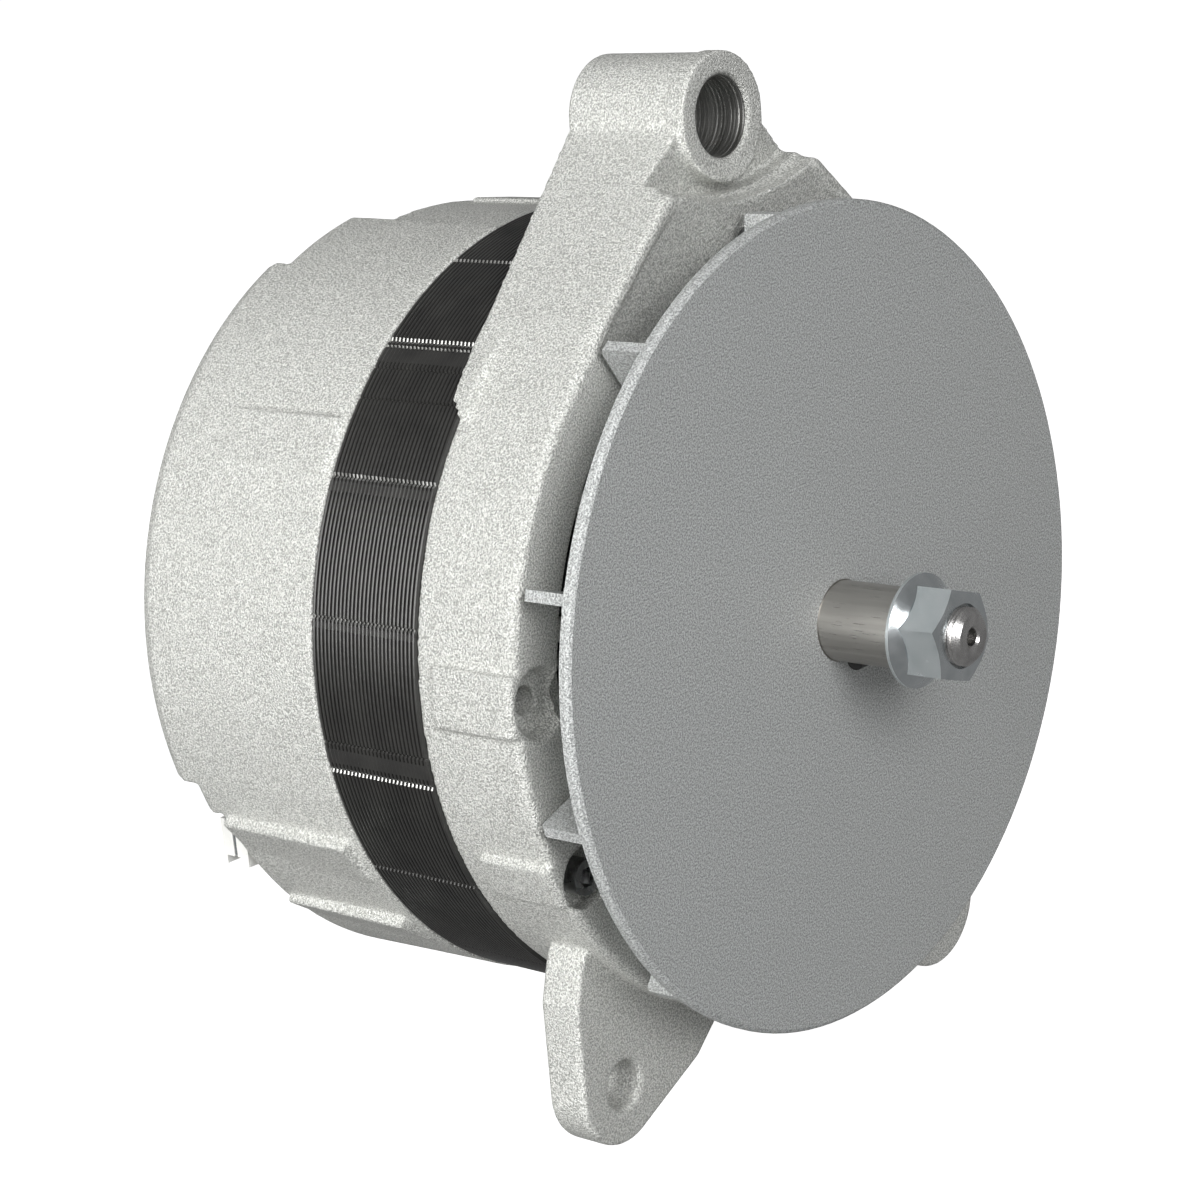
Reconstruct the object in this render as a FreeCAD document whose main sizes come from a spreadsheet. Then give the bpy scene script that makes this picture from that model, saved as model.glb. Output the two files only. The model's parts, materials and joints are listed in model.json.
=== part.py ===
"""Heavy-duty brushless alternator with a hinge ear and two adjusting lugs.

The shaft runs along Y. The origin is on the shaft axis, in the front face of the fan disc, where a pulley
seats. -Y is the drive end, +Y the rear, and the hinge ear stands at +Z. An angle named turned is measured
from +Z towards -X. "along" is a place on the shaft axis. Lengths are millimetres, angles are degrees.
"""
import FreeCAD, Part
import os
import re
from math import asin, cos, pi
import Sketcher
from FreeCAD import Placement, Rotation, Vector

SIZES = {
    # general
    "seat_gap": 0.02,
    "air_gap": 0.6,
    # shaft
    "shaft_front_radius": 11.1,
    "shaft_front_length": 25.2,
    "fan_seat_radius": 11.4,
    "thread_radius": 7.94,
    "thread_tip": 42.6,
    "thread_chamfer": 1.6,
    "thread_pitch": 1.41,
    "thread_depth": 0.75,
    "centre_hole_radius": 2.45,
    "centre_hole_depth": 7.0,
    "rotor_seat_radius": 15.0,
    "shaft_shoulder_radius": 16.0,
    "shaft_rear_radius": 12.0,
    # woodruff key and pulley nut
    "key_radius": 2.6,
    "key_centre": 10.5,
    "key_width": 4.0,
    "key_along": 4.9,
    "key_turned": 180.0,
    "nut_flange_radius": 15.6,
    "nut_flange_edge": 0.9,
    "nut_flange_height": 3.8,
    "nut_across_flats": 23.6,
    "nut_height": 14.3,
    "nut_turned": 42.0,
    # fan
    "fan_radius": 113.9,
    "fan_disc": 3.0,
    "fan_edge": 1.3,
    "fan_boss_radius": 24.0,
    "fan_boss_length": 20.0,
    "blade_outer": 112.3,
    "blade_inner": 52.0,
    "blade_depth": 17.7,
    "blade_fall": 1.3,
    "blade_fall_length": 18.0,
    "blade_tip_bevel": 1.0,
    "blade_inner_depth": 16.0,
    "blade_thickness": 3.0,
    "blade_foot": 3.0,
    "blade_first": 2.8,
    "blade_pitch_wide": 34.9,
    # front bearing, 25 x 62 x 17
    "front_bearing_start": 30.0,
    "front_bearing_bore": 12.5,
    "front_bearing_outer": 31.0,
    "front_bearing_width": 17.0,
    "front_bearing_pitch": 21.75,
    "front_ball_radius": 5.4,
    "front_land_inner": 17.0,
    "front_land_outer": 26.4,
    # rear bearing, 17 x 40 x 12
    "rear_bearing_start": 110.0,
    "rear_bearing_bore": 8.5,
    "rear_bearing_outer": 20.0,
    "rear_bearing_width": 12.0,
    "rear_bearing_pitch": 14.25,
    "rear_ball_radius": 3.1,
    "rear_land_inner": 11.8,
    "rear_land_outer": 16.6,
    "track_gap": 0.3,
    "race_edge": 0.8,
    "shield_thickness": 0.8,
    # drive end housing
    "case_radius": 110.7,
    "case_front": 20.8,
    "case_round": 2.5,
    "case_wall": 6.7,
    "web_front": 27.0,
    "web_rear": 33.0,
    "web_rim": 94.0,
    "web_draft": 2.0,
    "hub_radius": 44.0,
    "spacer_radius": 17.0,
    "lip_gap": 2.0,
    "window_inner": 50.0,
    "window_outer": 87.0,
    "window_count": 16,
    "window_rib": 6.0,
    "retainer_inner": 27.5,
    "retainer_radius": 42.0,
    "retainer_thickness": 2.5,
    "retainer_screw_circle": 36.5,
    "retainer_screw_radius": 2.5,
    # hinge ear
    "ear_height": 136.9,
    "ear_boss_radius": 17.4,
    "ear_ring_radius": 17.0,
    "ear_bore_radius": 11.1,
    "ear_front": 27.5,
    "ear_rear": 68.8,
    "ear_boss_front": 31.5,
    "ear_boss_round": 3.5,
    "ear_ring_round": 1.5,
    "ear_bore_chamfer": 0.8,
    "ear_plate_rear": 60.6,
    "ear_skirt_turned": 57.0,
    "ear_skirt_span": 21.0,
    "ear_skirt_rear": 58.7,
    "ear_land_tilt": 12.0,
    "ear_land_front": 19.7,
    "ear_land_top": 124.7,
    "ear_land_top_half": 23.2,
    "ear_land_corner": 108.4,
    "ear_land_low": 92.0,
    "ear_land_turned": 36.5,
    "ear_land_depth": 12.0,
    "ear_land_draft": 6.0,
    "ear_scoop_centre": 196.2,
    "ear_lip_radius": 78.0,
    "ear_lip_front": 25.6,
    "ear_cove_radius": 81.0,
    "ear_cove_rear": 27.6,
    # adjusting lugs
    "lug_turned": 146.5,
    "lug_circle": 136.2,
    "lug_front": 27.5,
    "lug_thickness": 12.8,
    "lug_hole_radius": 6.75,
    "lug_hole_chamfer": 0.9,
    "lug_half_width": 32.0,
    "lug_shoulder": 112.0,
    "lug_edge": 1.2,
    "left_lug_tip": 16.7,
    "right_lug_tip": 19.8,
    # raised pads and bolt recesses of the drive end housing
    "pad_height": 2.0,
    "pad_a_turned": 87.7,
    "pad_a_span": 8.5,
    "pad_a_end": 48.0,
    "pad_b_turned": 115.0,
    "pad_b_span": 7.0,
    "pad_b_end": 45.0,
    "recess_mouth": 9.6,
    "recess_floor": 7.4,
    "recess_depth": 5.2,
    "spare_hole_turned": 88.2,
    "spare_hole_circle": 101.0,
    # through bolts
    "bolt_turned": 117.7,
    "bolt_count": 3,
    "bolt_circle": 101.8,
    "bolt_recess_radius": 8.5,
    "bolt_radius": 3.2,
    "bolt_hole_radius": 3.85,
    "bolt_boss_radius": 8.2,
    "rear_boss_circle": 99.3,
    "rear_boss_radius": 9.6,
    "bolt_head_radius": 4.9,
    "bolt_head_height": 5.6,
    "bolt_end": 134.0,
    # stator
    "stator_front": 54.0,
    "stator_length": 37.6,
    "stator_radius": 109.5,
    "stator_bore": 76.0,
    "slot_count": 36,
    "slot_width": 6.4,
    "slot_bottom": 88.5,
    "slot_top": 77.6,
    "slot_liner": 0.3,
    "weld_first": 19.5,
    "weld_count": 18,
    "weld_width": 1.6,
    "weld_depth": 0.6,
    "slot_mouth": 2.8,
    "coil_end_reach": 15.0,
    "coil_end_gap": 2.0,
    "coil_end_edge": 3.0,
    "coil_loop_width": 8.4,
    "coil_loop_height": 1.5,
    # rotor and stationary field
    "pole_count": 6,
    "hub_start": 53.5,
    "hub_end": 96.5,
    "rotor_hub_radius": 30.0,
    "pole_disc_thickness": 11.0,
    "pole_inner": 66.0,
    "claw_half_width": 9.5,
    "joining_ring_width": 9.0,
    "joining_ring_inner": 61.0,
    "field_sleeve": 3.4,
    "field_coil_radius": 57.5,
    "bobbin_wall": 1.6,
    "field_flange": 4.0,
    "field_screw_circle": 39.5,
    "field_screw_radius": 3.0,
    # rear housing
    "rear_front": 91.6,
    "rear_front_radius": 112.1,
    "rear_radius": 113.3,
    "rear_end": 148.0,
    "rear_wall": 6.0,
    "rear_skin": 6.0,
    "rear_round": 6.0,
    "step_end": 150.5,
    "step_round": 3.0,
    "step_turned": 62.5,
    "step_span": 102.0,
    "deep_end": 160.0,
    "deep_turned": 67.0,
    "deep_span": 82.6,
    "relief_radius": 110.8,
    "relief_inner": 98.0,
    "relief_end": 138.0,
    "relief_turned": 355.0,
    "relief_span": 33.0,
    "tower_radius": 45.0,
    "tower_bore": 14.0,
    "cap_thickness": 3.0,
    "vent_inner": 55.0,
    "vent_outer": 92.0,
    "vent_half_width": 3.2,
    "vent_count": 30,
    # raised pads of the rear housing
    "plain_pad_turned": 55.9,
    "plain_pad_width": 15.6,
    "plain_pad_start": 94.0,
    "plain_pad_end": 134.0,
    "plain_pad_height": 1.2,
    "rear_pad_height": 3.4,
    "rear_pad_width": 17.0,
    "rear_pad_bevel": 0.6,
    "rear_pad_start": 95.0,
    "rear_pad_b_turned": 118.0,
    "rear_pad_b_end": 142.5,
    "rear_pad_c_turned": 135.3,
    "rear_pad_c_end": 140.0,
    "top_pad_turned": 351.5,
    "top_pad_radius": 112.0,
    "top_pad_end": 129.0,
    # rectifier, regulator, capacitor and terminals
    "sink_inner": 52.0,
    "sink_outer": 103.0,
    "sink_thickness": 3.2,
    "sink_span": 66.0,
    "positive_sink_start": 138.6,
    "negative_sink_start": 124.0,
    "diode_radius": 6.4,
    "diode_height": 6.0,
    "diode_lead": 4.0,
    "diode_lead_radius": 1.1,
    "diode_circle": 86.0,
    "diode_pitch": 21.0,
    "post_circle": 97.5,
    "post_radius": 4.0,
    "post_screw_radius": 2.0,
    "post_pitch": 28.0,
    "trio_width": 34.0,
    "trio_tall": 9.0,
    "trio_length": 7.0,
    "stud_circle": 64.0,
    "stud_turned": 72.0,
    "stud_radius": 3.9,
    "stud_body_radius": 4.2,
    "stud_body_end": 171.7,
    "stud_tip": 178.5,
    "stud_head": 4.0,
    "insulator_radius": 10.0,
    "insulator_height": 5.0,
    "stud_nut_flats": 13.0,
    "stud_nut_height": 6.5,
    "small_screw_radius": 2.0,
    "small_screw_head": 3.7,
    "small_screw_head_height": 2.5,
    "small_screw_reach": 3.0,
    "regulator_turned": 180.0,
    "regulator_circle": 78.0,
    "regulator_width": 46.0,
    "regulator_tall": 32.0,
    "regulator_length": 16.0,
    "regulator_ear": 9.0,
    "regulator_ear_half": 8.0,
    "regulator_ear_thickness": 4.0,
    "regulator_fin_pitch": 7.0,
    "regulator_fin_gap": 3.5,
    "regulator_fin_depth": 5.0,
    "capacitor_turned": 300.0,
    "capacitor_circle": 80.0,
    "capacitor_radius": 9.0,
    "capacitor_length": 26.0,
    "capacitor_edge": 1.2,
    "capacitor_strap": 1.2,
    "strap_width": 12.0,
    "strap_foot": 9.0,
    "ground_turned": 348.0,
    "ground_circle": 72.0,
    "ground_radius": 3.0,
    "connector_turned": 123.5,
    "connector_circle": 106.3,
    "connector_width": 8.0,
    "connector_tall": 13.8,
    "connector_length": 10.0,
    "connector_wall": 1.2,
    "connector_window": 2.6,
    "connector_slot": 1.2,
    "terminal_thickness": 0.8,
    "terminal_depth": 3.0,
    "terminal_loop_radius": 2.5,
    "terminal_eye_radius": 1.3,
}

doc = FreeCAD.newDocument("Alternator")
sheet = doc.addObject("Spreadsheet::Sheet", "Sizes")
for row, (alias, value) in enumerate(SIZES.items(), start=1):
    sheet.set(f"A{row}", alias)
    sheet.set(f"B{row}", str(value))
    sheet.setAlias(f"B{row}", alias)
doc.recompute()

WORD = re.compile(r"[a-z][a-z_]*")


def cells(text):
    """The expression with every named size pointing at its cell."""
    return WORD.sub(lambda word: "Sizes." * (word.group() in SIZES) + word.group(), str(text))


def size(text):
    """The present value of an expression over the named sizes."""
    return float(sheet.evalExpression(cells(text)))


def bind(thing, path, text):
    thing.setExpression(path, cells(text))


def body(name):
    made = doc.addObject("PartDesign::Body", name)
    made.Label = name
    return made


def own_plane(owner, role):
    return next(feature for feature in owner.Origin.OriginFeatures if feature.Role == role)


def side_sketch(owner, label, turned="0"):
    """Sketch through the shaft axis: its x is the place along the shaft, its y the radius at that angle."""
    sketch = owner.newObject("Sketcher::SketchObject", label)
    sketch.AttachmentSupport = [(own_plane(owner, "YZ_Plane"), "")]
    sketch.MapMode = "FlatFace"
    if size(turned):
        sketch.AttachmentOffset = Placement(Vector(), Rotation(Vector(1, 0, 0), -size(turned)))
        bind(sketch, ".AttachmentOffset.Rotation.Angle", f"-({turned})")
    return sketch


def face_sketch(owner, label, along, turned="0"):
    """Sketch square to the shaft: its x is sideways, its y is the radius at that angle."""
    sketch = owner.newObject("Sketcher::SketchObject", label)
    sketch.AttachmentSupport = [(own_plane(owner, "XZ_Plane"), "")]
    sketch.MapMode = "FlatFace"
    sketch.AttachmentOffset = Placement(Vector(0, 0, -size(along)), Rotation(Vector(0, 0, 1), size(turned)))
    bind(sketch, ".AttachmentOffset.Base.z", f"-({along})")
    if size(turned):
        bind(sketch, ".AttachmentOffset.Rotation.Angle", turned)
    return sketch


def pin_point(sketch, line, end, across, up):
    """Hold one point of a sketch at expression coordinates, measured from the sketch's origin."""
    for kind, text, axis in (("DistanceX", across, -2), ("DistanceY", up, -1)):
        value = size(text)
        if abs(value) < 1e-9:
            sketch.addConstraint(Sketcher.Constraint("PointOnObject", line, end, axis))
            continue
        pair = (-1, 1, line, end) if value > 0 else (line, end, -1, 1)
        number = sketch.addConstraint(Sketcher.Constraint(kind, *pair, abs(value)))
        bind(sketch, f"Constraints[{number}]", text if value > 0 else f"-({text})")


def outline(sketch, corners):
    """Closed polygon through corners given as expression pairs."""
    points = [Vector(size(across), size(up), 0) for across, up in corners]
    count = len(points)
    lines = [sketch.addGeometry(Part.LineSegment(points[i], points[(i + 1) % count])) for i in range(count)]
    for i in range(count):
        sketch.addConstraint(Sketcher.Constraint("Coincident", lines[i], 2, lines[(i + 1) % count], 1))
    for line, (across, up) in zip(lines, corners):
        pin_point(sketch, line, 1, across, up)


def circle(sketch, across, up, radius):
    ring = sketch.addGeometry(Part.Circle(Vector(size(across), size(up), 0), Vector(0, 0, 1), size(radius)))
    pin_point(sketch, ring, 3, across, up)
    number = sketch.addConstraint(Sketcher.Constraint("Radius", ring, size(radius)))
    bind(sketch, f"Constraints[{number}]", radius)


def turn(owner, label, corners, cut=False, turned="0", span=None):
    """Revolve a profile of (along, radius) corners about the shaft, to add or to cut."""
    sketch = side_sketch(owner, label + "Profile", turned)
    outline(sketch, corners)
    feature = owner.newObject("PartDesign::Groove" if cut else "PartDesign::Revolution", label)
    feature.Profile = sketch
    feature.ReferenceAxis = (sketch, ["H_Axis"])
    feature.Angle = 360
    if span:
        feature.Midplane = True
        bind(feature, "Angle", span)
    return feature


def turn_race(owner, label, back, ends, land, pitch, track):
    """Revolve a bearing race: its back corners from end to end, and a ball track in the land between them."""
    first, second = ends
    centre = Vector(size(f"({first} + {second}) / 2"), size(pitch), 0)
    reach = size(track)
    level = size(land)
    outward = level > centre.y
    dip = asin(abs(level - centre.y) / reach)
    half_chord = reach * cos(dip)
    corners = [(first, land), *back, (second, land)]
    points = [Vector(size(along), size(up), 0) for along, up in corners]
    points.append(Vector(centre.x + half_chord, level, 0))
    sketch = side_sketch(owner, label + "Profile")
    lines = [sketch.addGeometry(Part.LineSegment(points[i], points[i + 1])) for i in range(len(points) - 1)]
    lines.append(sketch.addGeometry(Part.LineSegment(Vector(centre.x - half_chord, level, 0), points[0])))
    low, high = (dip, pi - dip) if outward else (pi + dip, 2 * pi - dip)
    arc = sketch.addGeometry(Part.ArcOfCircle(Part.Circle(centre, Vector(0, 0, 1), reach), low, high))
    right, left = (1, 2) if outward else (2, 1)
    for i in range(len(lines) - 2):
        sketch.addConstraint(Sketcher.Constraint("Coincident", lines[i], 2, lines[i + 1], 1))
    sketch.addConstraint(Sketcher.Constraint("Coincident", lines[-1], 2, lines[0], 1))
    sketch.addConstraint(Sketcher.Constraint("Coincident", lines[-2], 2, arc, right))
    sketch.addConstraint(Sketcher.Constraint("Coincident", lines[-1], 1, arc, left))
    sketch.addConstraint(Sketcher.Constraint("Horizontal", lines[-2]))
    sketch.addConstraint(Sketcher.Constraint("Horizontal", lines[-1]))
    for line, (along, up) in zip(lines, corners):
        pin_point(sketch, line, 1, along, up)
    pin_point(sketch, arc, 3, f"({first} + {second}) / 2", pitch)
    number = sketch.addConstraint(Sketcher.Constraint("Radius", arc, reach))
    bind(sketch, f"Constraints[{number}]", track)
    feature = owner.newObject("PartDesign::Revolution", label)
    feature.Profile = sketch
    feature.ReferenceAxis = (sketch, ["H_Axis"])
    feature.Angle = 360


def raise_face(owner, label, along, length, draw, turned="0", taper=0, to_front=False):
    """Pad what draw puts on a sketch at a place on the shaft, to the rear or to the front."""
    sketch = face_sketch(owner, label + "Profile", along, turned)
    draw(sketch)
    feature = owner.newObject("PartDesign::Pad", label)
    feature.Profile = sketch
    feature.Reversed = not to_front
    bind(feature, "Length", length)
    if taper:
        feature.TaperAngle = taper
    return feature


def sink_face(owner, label, along, length, draw, turned="0"):
    """Pocket what draw puts on a sketch at a place on the shaft, from there to the rear."""
    sketch = face_sketch(owner, label + "Profile", along, turned)
    draw(sketch)
    feature = owner.newObject("PartDesign::Pocket", label)
    feature.Profile = sketch
    bind(feature, "Length", length)
    return feature


def repeat_round(owner, label, features, count, angle="360"):
    """Repeat features about the shaft."""
    pattern = owner.newObject("PartDesign::PolarPattern", label)
    pattern.Originals = features
    pattern.Axis = (own_plane(owner, "Y_Axis"), [""])
    pattern.Angle = size(angle)
    bind(pattern, "Angle", angle)
    bind(pattern, "Occurrences", count)
    owner.Tip = pattern
    return pattern


def ease_edges(owner, label, radius, wanted, flat=False):
    """Fillet or chamfer the edges of the latest solid for which wanted(edge) holds."""
    doc.recompute()
    base = owner.Tip
    names = [f"Edge{number}" for number, edge in enumerate(base.Shape.Edges, 1) if wanted(edge)]
    feature = owner.newObject("PartDesign::Chamfer" if flat else "PartDesign::Fillet", label)
    feature.Base = (base, names)
    bind(feature, "Size" if flat else "Radius", radius)
    return feature


def ring_edge(along, radius):
    """Chooser of the circular edges about the shaft with that place and radius."""
    def wanted(edge):
        curve = edge.Curve
        if not isinstance(curve, Part.Circle):
            return False
        on_axis = max(abs(curve.Center.x), abs(curve.Center.z)) < 0.01
        return on_axis and abs(curve.Center.y - size(along)) < 0.01 and abs(curve.Radius - size(radius)) < 0.01
    return wanted


def boss_edge(along, radius):
    """Chooser of the circular edges off the shaft axis with that place and radius."""
    def wanted(edge):
        curve = edge.Curve
        if not isinstance(curve, Part.Circle) or max(abs(curve.Center.x), abs(curve.Center.z)) < 1:
            return False
        return abs(curve.Radius - size(radius)) < 0.01 and abs(curve.Center.y - size(along)) < 0.01
    return wanted


def set_turned(owner, turned):
    """Turn a whole sub-part about the shaft."""
    owner.Placement = Placement(Vector(), Rotation(Vector(0, 1, 0), -size(turned)))
    bind(owner, ".Placement.Rotation.Angle", f"-({turned})")


def box_corners(left, right, low, high):
    return [(left, low), (right, low), (right, high), (left, high)]


def draw_box(left, right, low, high):
    return lambda sketch: outline(sketch, box_corners(left, right, low, high))


def draw_circle(across, up, radius):
    return lambda sketch: circle(sketch, across, up, radius)


def draw_hexagon(across, up, flats):
    """Hexagon with a corner pointing sideways on both sides."""
    half = f"({flats}) / 2"
    corner = f"({flats}) / 1.7320508"
    return lambda sketch: outline(sketch, [
        (f"{across} - {corner}", up), (f"{across} - {corner} / 2", f"{up} + {half}"),
        (f"{across} + {corner} / 2", f"{up} + {half}"), (f"{across} + {corner}", up),
        (f"{across} + {corner} / 2", f"{up} - {half}"), (f"{across} - {corner} / 2", f"{up} - {half}")])


# Rotor side: shaft, key, nut, fan and poles

THREAD_TURNS = 11


def make_shaft():
    """Stepped shaft. Its thread is drawn as plain rings of the right pitch and depth."""
    shaft = body("shaft")
    turn(shaft, "ShaftBody", [
        ("-thread_tip", "0"), ("-thread_tip", "thread_radius - thread_chamfer"),
        ("-thread_tip + thread_chamfer", "thread_radius"), ("-shaft_front_length", "thread_radius"),
        ("-shaft_front_length", "shaft_front_radius - 0.6"), ("-shaft_front_length + 0.6",
                                                              "shaft_front_radius"),
        ("0", "shaft_front_radius"), ("0", "fan_seat_radius"),
        ("front_bearing_start", "fan_seat_radius"), ("front_bearing_start", "front_bearing_bore"),
        ("front_bearing_start + front_bearing_width", "front_bearing_bore"),
        ("front_bearing_start + front_bearing_width", "shaft_shoulder_radius"),
        ("hub_start", "shaft_shoulder_radius"), ("hub_start", "rotor_seat_radius"),
        ("hub_end", "rotor_seat_radius"), ("hub_end", "shaft_rear_radius"),
        ("rear_bearing_start", "shaft_rear_radius"), ("rear_bearing_start", "rear_bearing_bore"),
        ("rear_bearing_start + rear_bearing_width + 2", "rear_bearing_bore"),
        ("rear_bearing_start + rear_bearing_width + 2", "0")])
    turn(shaft, "CentreHole", [
        ("-thread_tip - 1", "0"), ("-thread_tip - 1", "centre_hole_radius + 1.6"),
        ("-thread_tip + 0.6", "centre_hole_radius"), ("-thread_tip + centre_hole_depth",
                                                      "centre_hole_radius"),
        ("-thread_tip + centre_hole_depth + 1.4", "0")], cut=True)
    for number in range(THREAD_TURNS):
        bottom = f"-thread_tip + thread_chamfer + thread_pitch * {number + 0.5}"
        turn(shaft, f"Thread{number + 1}", [
            (f"{bottom} - thread_pitch / 2", "thread_radius + 0.05"), (bottom, "thread_radius - thread_depth"),
            (f"{bottom} + thread_pitch / 2", "thread_radius + 0.05")], cut=True)
    keyway = side_sketch(shaft, "KeywayProfile")
    circle(keyway, "-key_along", "key_centre", "key_radius + seat_gap")
    cut = shaft.newObject("PartDesign::Pocket", "Keyway")
    cut.Profile = keyway
    cut.Midplane = True
    bind(cut, "Length", "key_width + 2 * seat_gap")
    set_turned(shaft, "key_turned")
    return shaft


def make_key():
    key = body("woodruff_key")
    profile = side_sketch(key, "KeyDisc")
    circle(profile, "-key_along", "key_centre", "key_radius")
    disc = key.newObject("PartDesign::Pad", "KeyPad")
    disc.Profile = profile
    disc.Midplane = True
    bind(disc, "Length", "key_width")
    set_turned(key, "key_turned")
    return key


def make_nut():
    nut = body("pulley_nut")
    corner = "nut_across_flats / 1.7320508"
    turn(nut, "NutFlange", [
        ("-shaft_front_length", "thread_radius + seat_gap"), ("-shaft_front_length", "nut_flange_radius"),
        ("-shaft_front_length - nut_flange_edge", "nut_flange_radius"),
        ("-shaft_front_length - nut_flange_height", "nut_across_flats / 2 + 0.3"),
        ("-shaft_front_length - nut_flange_height", "thread_radius + seat_gap")])
    raise_face(nut, "NutHex", "-shaft_front_length - nut_flange_edge", "nut_height - nut_flange_edge",
               draw_hexagon("0", "0", "nut_across_flats"), to_front=True)
    turn(nut, "NutCorners", [
        ("-shaft_front_length - nut_height", "nut_across_flats / 2 - 0.4"),
        ("-shaft_front_length - nut_height - 1", "nut_across_flats / 2 - 0.4"),
        ("-shaft_front_length - nut_height - 1", corner + " + 2"),
        ("-shaft_front_length - nut_height + 1.9", corner + " + 2")], cut=True)
    turn(nut, "NutBore", [
        ("1 - shaft_front_length", "0"), ("1 - shaft_front_length", "thread_radius + seat_gap"),
        ("-shaft_front_length - nut_height + 1", "thread_radius + seat_gap"),
        ("-shaft_front_length - nut_height - 1", "thread_radius + seat_gap + 1.6"),
        ("-shaft_front_length - nut_height - 1", "0")], cut=True)
    set_turned(nut, "nut_turned")
    return nut


def make_fan():
    fan = body("fan")
    turn(fan, "FanDisc", [
        ("0", "0"), ("0", "fan_radius - fan_edge"), ("fan_edge * 0.4", "fan_radius - fan_edge * 0.4"),
        ("fan_edge", "fan_radius"), ("fan_disc", "fan_radius"), ("fan_disc", "fan_boss_radius + 6"),
        ("fan_disc + 6", "fan_boss_radius"), ("fan_boss_length", "fan_boss_radius"), ("fan_boss_length",
                                                                                      "0")])
    narrow = "(360 - 3 * blade_pitch_wide) / 8"
    angles = ["blade_first"]
    for step in "WWNWNNNNNN":
        angles.append(f"{angles[-1]} + " + ("blade_pitch_wide" if step == "W" else narrow))
    for number, turned in enumerate(angles, 1):
        profile = side_sketch(fan, f"BladeProfile{number}", turned)
        outline(profile, [
            ("fan_disc / 2", "blade_inner - 8"), ("blade_inner_depth", "blade_inner"),
            ("blade_depth + blade_fall", "blade_outer - blade_fall_length"),
            ("blade_depth", "blade_outer - blade_tip_bevel"), ("blade_depth - blade_tip_bevel", "blade_outer"),
            ("fan_disc / 2", "blade_outer")])
        blade = fan.newObject("PartDesign::Pad", f"Blade{number}")
        blade.Profile = profile
        blade.Midplane = True
        bind(blade, "Length", "blade_thickness")
        foot = side_sketch(fan, f"BladeFootProfile{number}", turned)
        outline(foot, box_corners("fan_disc / 2", "fan_disc + blade_foot / 2", "blade_inner - 6",
                                  "blade_outer"))
        base = fan.newObject("PartDesign::Pad", f"BladeFoot{number}")
        base.Profile = foot
        base.Midplane = True
        bind(base, "Length", "blade_thickness + blade_foot")
    turn(fan, "FanBore", [
        ("-1", "0"), ("-1", "fan_seat_radius + seat_gap"),
        ("fan_boss_length + 1", "fan_seat_radius + seat_gap"), ("fan_boss_length + 1", "0")], cut=True)
    return fan


def make_fan_spacer():
    spacer = body("fan_spacer")
    turn(spacer, "SpacerRing", box_corners("fan_boss_length", "front_bearing_start",
                                           "fan_seat_radius + seat_gap", "spacer_radius"))
    return spacer


def draw_claw(sketch):
    """Section of a pole claw, its outer face kept inside the stator bore."""
    outer = "stator_bore - air_gap"
    outline(sketch, [
        ("-claw_half_width", "pole_inner"), ("claw_half_width", "pole_inner"),
        ("claw_half_width + 1", f"{outer} - 1.4"), ("0", outer), ("-claw_half_width - 1", f"{outer} - 1.4")])


def make_front_poles():
    poles = body("front_pole_piece")
    outer = "stator_bore - air_gap"
    turn(poles, "PoleHubAndDisc", [
        ("hub_start", "rotor_seat_radius + seat_gap"), ("hub_start", outer + " - 3"),
        ("hub_start + 3", outer), ("hub_start + pole_disc_thickness", outer),
        ("hub_start + pole_disc_thickness", "rotor_hub_radius"), ("hub_end", "rotor_hub_radius"),
        ("hub_end", "rotor_seat_radius + seat_gap")])
    notch = sink_face(poles, "PoleNotch", "hub_start - 1", "pole_disc_thickness + 2",
                      draw_box("-claw_half_width - 3.5", "claw_half_width + 3.5", "pole_inner - 2.5",
                               outer + " + 3"),
                      turned="180 / pole_count")
    repeat_round(poles, "PoleNotches", [notch], "pole_count")
    claw = raise_face(poles, "PoleClaw", "hub_start + 2", "hub_end - hub_start - 4", draw_claw)
    repeat_round(poles, "PoleClaws", [claw], "pole_count")
    return poles


def make_rear_poles():
    """Six claws on a ring round the field coil. The non-magnetic ring holds them to the front pole piece."""
    poles = body("rear_pole_ring")
    outer = "stator_bore - air_gap"
    turn(poles, "PoleRing", box_corners("hub_end", "hub_end + 4", "pole_inner - 4", outer))
    claw = raise_face(poles, "RearClaw", "hub_start + 2", "hub_end - hub_start - 1", draw_claw,
                      turned="180 / pole_count")
    repeat_round(poles, "RearClaws", [claw], "pole_count")
    return poles


def make_joining_ring():
    ring = body("pole_joining_ring")
    middle = "(hub_start + hub_end) / 2"
    turn(ring, "JoiningRing", box_corners(f"{middle} - joining_ring_width / 2",
                                          f"{middle} + joining_ring_width / 2",
                                          "joining_ring_inner", "pole_inner"))
    return ring


# Bearings

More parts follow.
